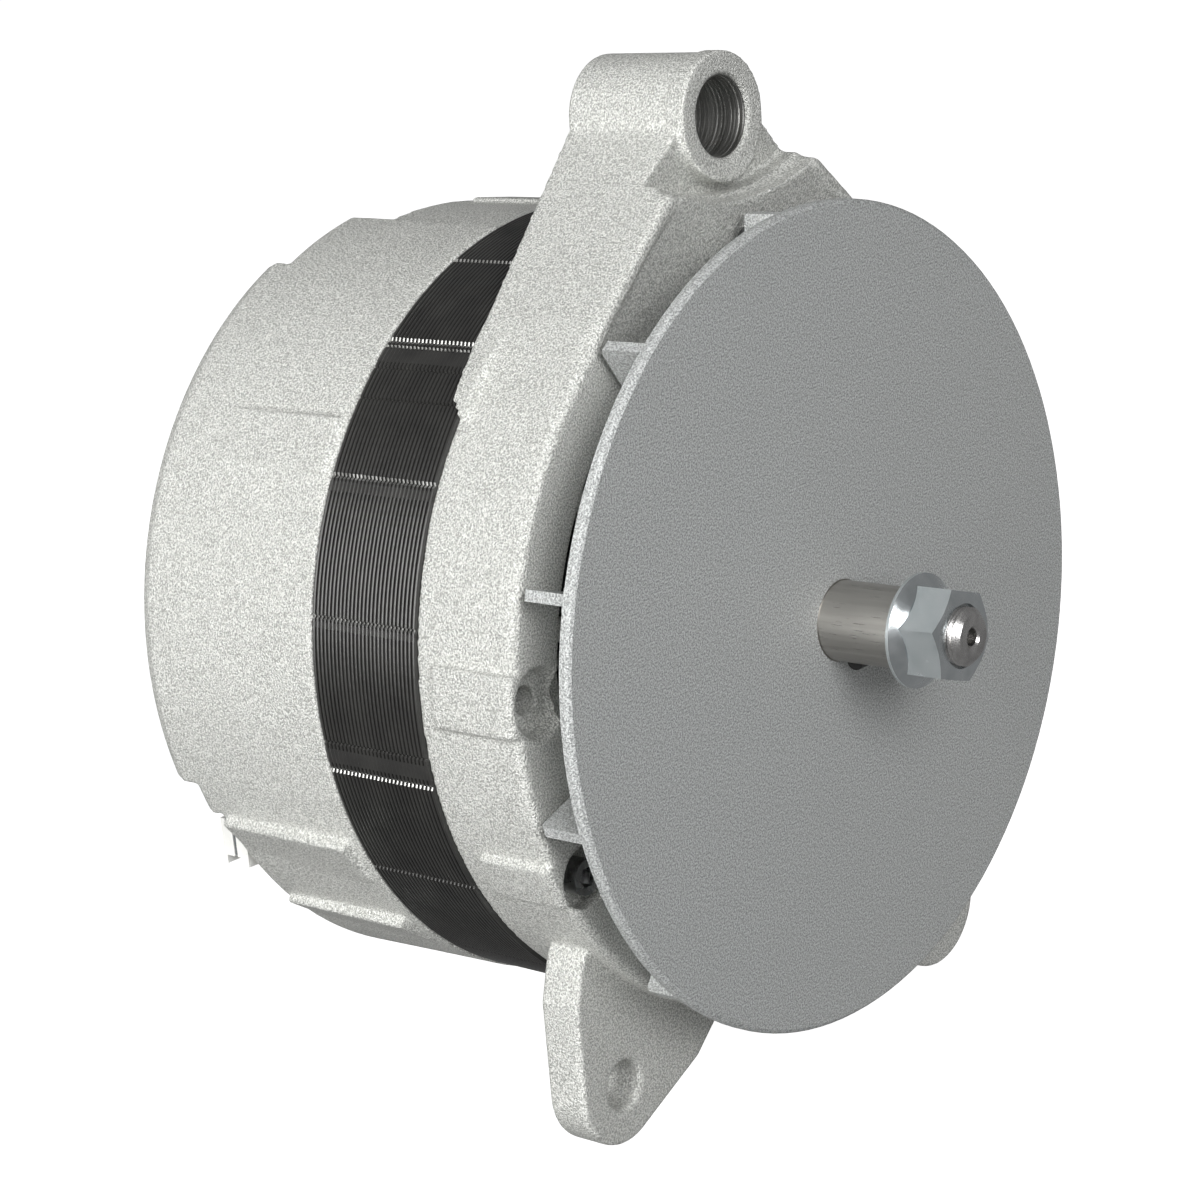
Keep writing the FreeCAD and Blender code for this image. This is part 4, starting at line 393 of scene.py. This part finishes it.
def ring_mesh(profile, climb=0.0):
    """Closed ring round the hinge axis with a profile of (along, radius); climb is its lead in one turn."""
    ring = bmesh.new()
    loops = []
    for turn in range(RING_STEPS):
        turned = 360 * turn / RING_STEPS
        shift = climb * turn / RING_STEPS
        loops.append([ring.verts.new(on_axis_circle(turned, along + shift, radius, EAR_HEIGHT))
                      for along, radius in profile])
    for turn in range(RING_STEPS):
        here, there = loops[turn], loops[(turn + 1) % RING_STEPS]
        for i in range(len(profile)):
            j = (i + 1) % len(profile)
            ring.faces.new((here[i], here[j], there[j], there[i]))
    bmesh.ops.recalc_face_normals(ring, faces=ring.faces)
    return as_mesh(ring, "ring")


def worked(mesh, steps):
    """Mesh after a list of modifiers, each given as its kind and its values."""
    thing = bpy.data.objects.new("work", mesh)
    bpy.context.scene.collection.objects.link(thing)
    for kind, values in steps:
        modifier = thing.modifiers.new(kind, kind)
        for key, value in values.items():
            setattr(modifier, key, value)
    graph = bpy.context.evaluated_depsgraph_get()
    made = bpy.data.meshes.new_from_object(thing.evaluated_get(graph))
    bpy.data.objects.remove(thing)
    return made


def cut_away(mesh, block):
    cutter = bpy.data.objects.new("cutter", block)
    bpy.context.scene.collection.objects.link(cutter)
    made = worked(mesh, [("BOOLEAN", {"operation": "DIFFERENCE", "solver": "MANIFOLD", "object": cutter})])
    bpy.data.objects.remove(cutter)
    return made


def joined(first, second):
    """Both meshes in one. The remesh that follows turns closed skins that overlap into one."""
    both = bmesh.new()
    both.from_mesh(first)
    both.from_mesh(second)
    return as_mesh(both, "joined")


# Castings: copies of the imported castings, trimmed where the ear is slimmer, with rounded cast edges

VOXEL = 0.6
MERGE_METRES = 1e-6
SMOOTHING = 0.5
SMOOTH_ROUNDS = 5
EASED_ROUNDS = 60
KEPT_SHARE = 0.3

CASE_RADIUS = 112.5
EAR_HEIGHT = 136.9
TUBE_RADIUS = 17.4
BORE_RADIUS = 11.1
# The flank of the ear is a straight line from its angle on the hinge tube to its angle on the case
FLANK_ON_TUBE = 96
FLANK_ON_CASE = 41.6

# Places clear of the ear, in front of it and behind it, for the cuts that run out of it
AHEAD_OF_EAR = 14
BEHIND_EAR = 76

# Outline of the cut along a flank, outside the flank, the tube and the case
FLANK_CUT_TUBE = range(30, FLANK_ON_TUBE, 4)
FLANK_CUT_CASE = (FLANK_ON_CASE, 43, 44.5, 46, 48)
FLANK_CUT_CLEARANCE = 30
FLANK_CUT_TOP_TURNED = 3
FLANK_CUT_TOP_CLEARANCE = 45

# Land round the hinge tube: its tilted floor, the lip below it and the outline of its cut, which has angles on
# the tube, sideways places on the lip and two corners outside the ear
LAND_LEVEL = 124.7
LAND_FLOOR = 31.7
LAND_TILT = 12.0
LIP_CENTRE = 196.2
LIP_RADIUS = 79.5
LAND_CUT_GAP = 0.1
LAND_CUT_TUBE = range(40, 186, 5)
LAND_CUT_LIP = range(-2, 44, 3)
LAND_CUT_SIDE = 62
LAND_CUT_HEIGHTS = (150, 170)

# Collar at the front of the hinge tube, and the step from it down to the tube
COLLAR_FRONT = 27.5
COLLAR_REAR = 33.0
COLLAR_RADIUS = 17.35
COLLAR_BORE_GAP = 0.5
TUBE_STEP = 0.55
TUBE_CUT_HEIGHT = 2
TUBE_CUT_TURNS = range(0, FLANK_ON_TUBE, 5)

# Rear of the ear between its flanks, which leans back with height
EAR_REAR_START = 58
EAR_REAR = 59.3
EAR_REAR_LEVEL = 85.4
EAR_REAR_LEAN = 0.167
EAR_REAR_STEPS = 10
EAR_REAR_TOP = ((-12, 130), (12, 130))

# Skirts each side of the ear over the laminations, in wedges of about a degree
SKIRT_INSIDE = 110.2
SKIRT_START = 52
SKIRT_TURNS = range(37, 50)
SKIRT_REAR = 59.6
SKIRT_REAR_TURNED = 40
SKIRT_FALL = 0.25
SKIRT_STEP_TURNED = 47
SKIRT_STEP_REAR = 57.4
SKIRT_STEP_FALL = 1.6
SKIRT_WEDGE = 1.02
SKIRT_CUT_TURNS = range(40, 71)
SKIRT_CUT_INSIDE = 109.0
SKIRT_CUT_CLEARANCE = 2
SKIRT_CUT_START = 54.4

# Where the edge between the ear's flank and its front is eased more than the rest
EASED_FRONT = 27
EASED_LOW = 84
EASED_REACH = 5


def closed_copy(node):
    """Copy of a node's mesh with its seams joined, so that it is one closed skin."""
    skin = bmesh.new()
    skin.from_mesh(NODES[node].data)
    bmesh.ops.remove_doubles(skin, verts=skin.verts, dist=MERGE_METRES)
    return as_mesh(skin, node + "_skin")


def softened(mesh, eased=None):
    """Round every edge as a casting has it, and more where a vertex's place is eased."""
    fine = worked(mesh, [("REMESH", {"mode": "VOXEL", "voxel_size": VOXEL * MM}),
                         ("SMOOTH", {"factor": SMOOTHING, "iterations": SMOOTH_ROUNDS})])
    thing = bpy.data.objects.new("fine", fine)
    bpy.context.scene.collection.objects.link(thing)
    if eased:
        group = thing.vertex_groups.new(name="eased")
        group.add([vertex.index for vertex in fine.vertices if eased(vertex.co / MM)], 1.0, "REPLACE")
        modifier = thing.modifiers.new("ease", "SMOOTH")
        modifier.vertex_group = "eased"
        modifier.factor = SMOOTHING
        modifier.iterations = EASED_ROUNDS
    modifier = thing.modifiers.new("thin", "DECIMATE")
    modifier.ratio = KEPT_SHARE
    graph = bpy.context.evaluated_depsgraph_get()
    made = bpy.data.meshes.new_from_object(thing.evaluated_get(graph))
    bpy.data.objects.remove(thing)
    for polygon in made.polygons:
        polygon.use_smooth = True
        polygon.material_index = 0
    return made


def flank_line(side):
    """Straight flank of the ear: where it meets the hinge tube, and where it touches the case."""
    top = on_circle(side * FLANK_ON_TUBE, TUBE_RADIUS, EAR_HEIGHT)
    low = on_circle(side * FLANK_ON_CASE, CASE_RADIUS)
    return top, low


def off_flank(x, z):
    """Distance outside the nearer flank line of the ear."""
    top, _ = flank_line(1)
    slope = radians(FLANK_ON_CASE)
    return (abs(x) + top[0]) * sin(slope) + (z - top[1]) * cos(slope)


def on_eased_edge(place):
    """Whether a vertex is near the edge between the ear's flank and its front."""
    return place.y < EASED_FRONT and place.z > EASED_LOW and abs(off_flank(place.x, place.z)) < EASED_REACH


def ear_flank_cutter(side):
    """Everything outside a flank of the ear and outside the hinge tube."""
    tube = [on_circle(side * turned, TUBE_RADIUS, EAR_HEIGHT) for turned in FLANK_CUT_TUBE]
    case = [on_circle(side * turned, CASE_RADIUS) for turned in FLANK_CUT_CASE]
    outside = [on_circle(side * FLANK_CUT_CASE[-1], CASE_RADIUS + FLANK_CUT_CLEARANCE),
               on_circle(side * FLANK_CUT_TOP_TURNED, EAR_HEIGHT + FLANK_CUT_TOP_CLEARANCE)]
    return prism(tube + [flank_line(side)[0]] + case + outside, AHEAD_OF_EAR, BEHIND_EAR)


def ear_land_cutter(side):
    """Opens the land round the hinge tube to one flank, down to its tilted floor."""
    tube = [on_circle(side * turned, TUBE_RADIUS + LAND_CUT_GAP, EAR_HEIGHT) for turned in LAND_CUT_TUBE]
    lip = [(-side * x, LIP_CENTRE - sqrt(LIP_RADIUS ** 2 - x ** 2)) for x in LAND_CUT_LIP]
    outside = [(-side * LAND_CUT_SIDE, height) for height in LAND_CUT_HEIGHTS]
    return prism(tube + lip + outside, AHEAD_OF_EAR, LAND_FLOOR, -tan(radians(LAND_TILT)), LAND_LEVEL)


def ear_tube_cutter(side):
    """Thin shell over the hinge tube behind its collar, so that the collar stands proud."""
    outer = [on_circle(side * turned, TUBE_RADIUS + TUBE_CUT_HEIGHT, EAR_HEIGHT)
             for turned in reversed(TUBE_CUT_TURNS)]
    inner = [on_circle(side * turned, TUBE_RADIUS - TUBE_STEP, EAR_HEIGHT) for turned in TUBE_CUT_TURNS]
    return prism(inner + outer, COLLAR_REAR, BEHIND_EAR)


def wedge(side, turned, inner, outer, near, far):
    """Block of about a degree between two radii."""
    follow = turned + SKIRT_WEDGE
    corners = [on_circle(side * turned, inner), on_circle(side * turned, outer),
               on_circle(side * follow, outer), on_circle(side * follow, inner)]
    return prism(corners, near, far)


def skirt_cutters(side):
    """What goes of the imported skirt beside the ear."""
    outer = CASE_RADIUS + SKIRT_CUT_CLEARANCE
    return [wedge(side, turned, SKIRT_CUT_INSIDE, outer, SKIRT_CUT_START, BEHIND_EAR)
            for turned in SKIRT_CUT_TURNS]


def skirt_rear(turned):
    """Rear edge of the new skirt: it falls gently away from the ear, and steeply at its end."""
    if turned <= SKIRT_STEP_TURNED:
        return SKIRT_REAR - (turned - SKIRT_REAR_TURNED) * SKIRT_FALL
    return SKIRT_STEP_REAR - (turned - SKIRT_STEP_TURNED) * SKIRT_STEP_FALL


def skirt_walls(side):
    """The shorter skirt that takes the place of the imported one."""
    return [wedge(side, turned, SKIRT_INSIDE, CASE_RADIUS, SKIRT_START, skirt_rear(turned))
            for turned in SKIRT_TURNS]


def ear_rear_block():
    """Rear part of the ear between its flanks, over the laminations."""
    inner = [on_circle(FLANK_ON_CASE * step / EAR_REAR_STEPS, SKIRT_INSIDE)
             for step in range(-EAR_REAR_STEPS, EAR_REAR_STEPS + 1)]
    left_top, left_low = flank_line(1)
    right_top, right_low = flank_line(-1)
    corners = inner + [left_low, left_top, *EAR_REAR_TOP, right_top, right_low]
    return prism(corners, EAR_REAR_START, EAR_REAR, EAR_REAR_LEAN, EAR_REAR_LEVEL)


def collar_ring():
    inner = BORE_RADIUS + COLLAR_BORE_GAP
    return ring_mesh([(COLLAR_FRONT, inner), (COLLAR_FRONT, COLLAR_RADIUS),
                      (COLLAR_REAR, COLLAR_RADIUS), (COLLAR_REAR, inner)])


def make_castings(material):
    case = closed_copy("drive_end_housing")
    for side in (1, -1):
        cutters = [ear_flank_cutter(side), ear_land_cutter(side), ear_tube_cutter(side)]
        for block in cutters + skirt_cutters(side):
            case = cut_away(case, block)
    for block in [ear_rear_block(), collar_ring()] + skirt_walls(1) + skirt_walls(-1):
        case = joined(case, block)
    piece = new_piece("drive_end_casting", softened(case, on_eased_edge), [material])
    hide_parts("drive_end_housing")
    cup = softened(closed_copy("rear_housing"))
    piece = new_piece("rear_casting", cup, [material])
    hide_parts("rear_housing")


# Machined wall of the hinge bore

BORE_SKIN_FRONT = 28.4
BORE_SKIN_REAR = 68.2
BORE_SKIN_INNER = 10.98
BORE_SKIN_OUTER = 11.5
TOOL_RING_HEIGHT = 0.07
TOOL_RING_DRIFT = 0.03
TOOL_RING_DRIFT_RATE = 1.7
TOOL_RING_PITCH = 0.34
TOOL_PITCH_DRIFT = 0.12
TOOL_PITCH_DRIFT_RATE = 0.9
TOOL_CLIMB = 0.35


def make_bore_skin(material):
    """Thin sleeve with the uneven rings that the boring tool left."""
    profile = []
    along = BORE_SKIN_FRONT
    while along < BORE_SKIN_REAR:
        step = len(profile)
        ring = TOOL_RING_HEIGHT * (step % 2) + TOOL_RING_DRIFT * sin(step * TOOL_RING_DRIFT_RATE)
        profile.append((along, BORE_SKIN_INNER + ring))
        along += TOOL_RING_PITCH + TOOL_PITCH_DRIFT * sin(step * TOOL_PITCH_DRIFT_RATE)
    profile += [(BORE_SKIN_REAR, BORE_SKIN_OUTER), (BORE_SKIN_FRONT, BORE_SKIN_OUTER)]
    new_piece("hinge_bore_wall", ring_mesh(profile, TOOL_CLIMB), [material])


# Laminations: thin sheets with rounded edges round the stator core, notched at the seams. The crests over some
# seams take bright steel: bare weld steel with a painted highlight of the notch faces in its colour

LAMINATION_COUNT = 27
LAMINATION_PROUD = 2.1
LAMINATION_DEPTH = 0.9
LAMINATION_EDGE = 0.3
LAMINATION_ROUND = 0.1
LAMINATION_GAP = 0.05
LAMINATION_SUNK = 1.5
CLOSED_GROOVE = 0.12
SEAM_DEPTH = 0.5
EVEN_STEP = 1.5
SEAM_STEPS = 8
SEAM_REACH = 5
BAND_EDGE = 0.02
# Points of one sheet's profile, and the two of its faces that take the bright seam steel, a painted highlight over
# the weld
SHEET_POINTS = 5
CREST_FACES = (1, 2)


def both_sides(entries):
    """The same seams or bands again on the far side of the stack."""
    return [(entry[0] + turn, *entry[1:]) for turn in (0, 180) for entry in entries]


# Each seam: its angle, its width in degrees and whether its crests take the bright seam steel, a painted highlight
# of the notch faces
SEAMS = both_sides(((22.0, 0.7, True), (38.8, 0.9, True), (39.9, 0.4, True), (43.5, 0.4, False),
                    (48.4, 0.4, False), (59.9, 0.8, True), (79.3, 0.7, True), (97.1, 0.5, False),
                    (101.4, 0.8, True), (118.7, 0.5, False), (139.9, 0.5, False)))
# Smooth bands where the grooves between the laminations are closed: angle and width in degrees
BANDS = both_sides(((41.4, 2.2), (61.4, 1.4), (80.4, 0.9), (99.2, 2.2)))


def around(angle, other):
    """Difference of two angles in degrees, from -180 to 180."""
    return (angle - other + 180) % 360 - 180


def seam_at(angle):
    """Depth of the notch, from 0 to 1, and whether the crests at an angle take the painted highlight of the seam
    steel.
    """
    for centre, width, highlighted in SEAMS:
        gap = abs(around(angle, centre))
        if gap < width / 2:
            return 1 - gap / (width / 2), highlighted
    return 0.0, False


def groove_at(angle):
    """How open the grooves between the laminations are at an angle, from 0 to 1."""
    if any(abs(around(angle, centre)) < width / 2 for centre, width in BANDS):
        return CLOSED_GROOVE
    return 1.0


def section_angles():
    """Angles of the stack's sections: even steps, and close ones over the seams and at the bands' edges."""
    angles = [step * EVEN_STEP for step in range(round(360 / EVEN_STEP))]
    for centre, width, _ in SEAMS:
        angles += [(centre + width * part / SEAM_STEPS) % 360
                   for part in range(-SEAM_REACH, SEAM_REACH + 1)]
    for centre, width in BANDS:
        angles += [(centre + width / 2 * side + nudge) % 360 for side in (-1, 1)
                   for nudge in (-BAND_EDGE, BAND_EDGE)]
    return sorted(set(round(angle, 3) for angle in angles))


def section(angle, front, rear, core_radius):
    """Profile of the whole stack at an angle, as (along, radius): its sheets in turn, then its inside."""
    notch, _ = seam_at(angle)
    crest = core_radius + LAMINATION_PROUD - SEAM_DEPTH * notch
    floor = crest - LAMINATION_DEPTH * groove_at(angle)
    pitch = (rear - front) / LAMINATION_COUNT
    profile = []
    for number in range(LAMINATION_COUNT):
        near = front + number * pitch
        profile += [(near + LAMINATION_GAP, floor), (near + LAMINATION_EDGE, crest - LAMINATION_ROUND),
                    (near + pitch / 2, crest), (near + pitch - LAMINATION_EDGE, crest - LAMINATION_ROUND),
                    (near + pitch - LAMINATION_GAP, floor)]
    inside = core_radius - LAMINATION_SUNK
    return profile + [(rear - LAMINATION_GAP, inside), (front + LAMINATION_GAP, inside)]


def make_laminations(varnish, weld_and_highlight):
    low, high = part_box("stator_core")
    angles = section_angles()
    vertices = []
    for angle in angles:
        profile = section(angle, low[1] / MM, high[1] / MM, high[0] / MM)
        vertices += [on_axis_circle(angle, along, radius) for along, radius in profile]
    size = len(profile)
    crest_faces = [i for i in range(size - 2) if i % SHEET_POINTS in CREST_FACES]
    faces = []
    highlight_faces = []
    for step, angle in enumerate(angles):
        follow = (step + 1) % len(angles)
        here, there = step * size, follow * size
        # Crests of the highlighted seams take the seam steel, a painted highlight over the weld
        _, highlighted = seam_at(angle + around(angles[follow], angle) / 2)
        if highlighted:
            highlight_faces += [len(faces) + i for i in crest_faces]
        for i in range(size):
            j = (i + 1) % size
            faces.append((here + i, here + j, there + j, there + i))
    mesh = bpy.data.meshes.new("laminations")
    mesh.from_pydata(vertices, [], faces)
    for number in highlight_faces:
        mesh.polygons[number].material_index = 1
    shell = bmesh.new()
    shell.from_mesh(mesh)
    bmesh.ops.recalc_face_normals(shell, faces=shell.faces)
    new_piece("lamination_rings", as_mesh(shell, "lamination_rings"), [varnish, weld_and_highlight])


make_camera()
make_studio()
make_floor()
MATERIALS = {**make_metals(), **make_dull_finishes()}
dress_nodes(MATERIALS)
make_castings(MATERIALS["cast_aluminium"])
make_bore_skin(MATERIALS["bored_aluminium"])
dress_faces("shaft", MATERIALS["thread_steel"], lambda place: place.y < THREAD_START)
dress_faces("through_bolts", MATERIALS["bolt_zinc"], lambda place: True)
make_laminations(MATERIALS["lamination"], MATERIALS["seam_steel"])
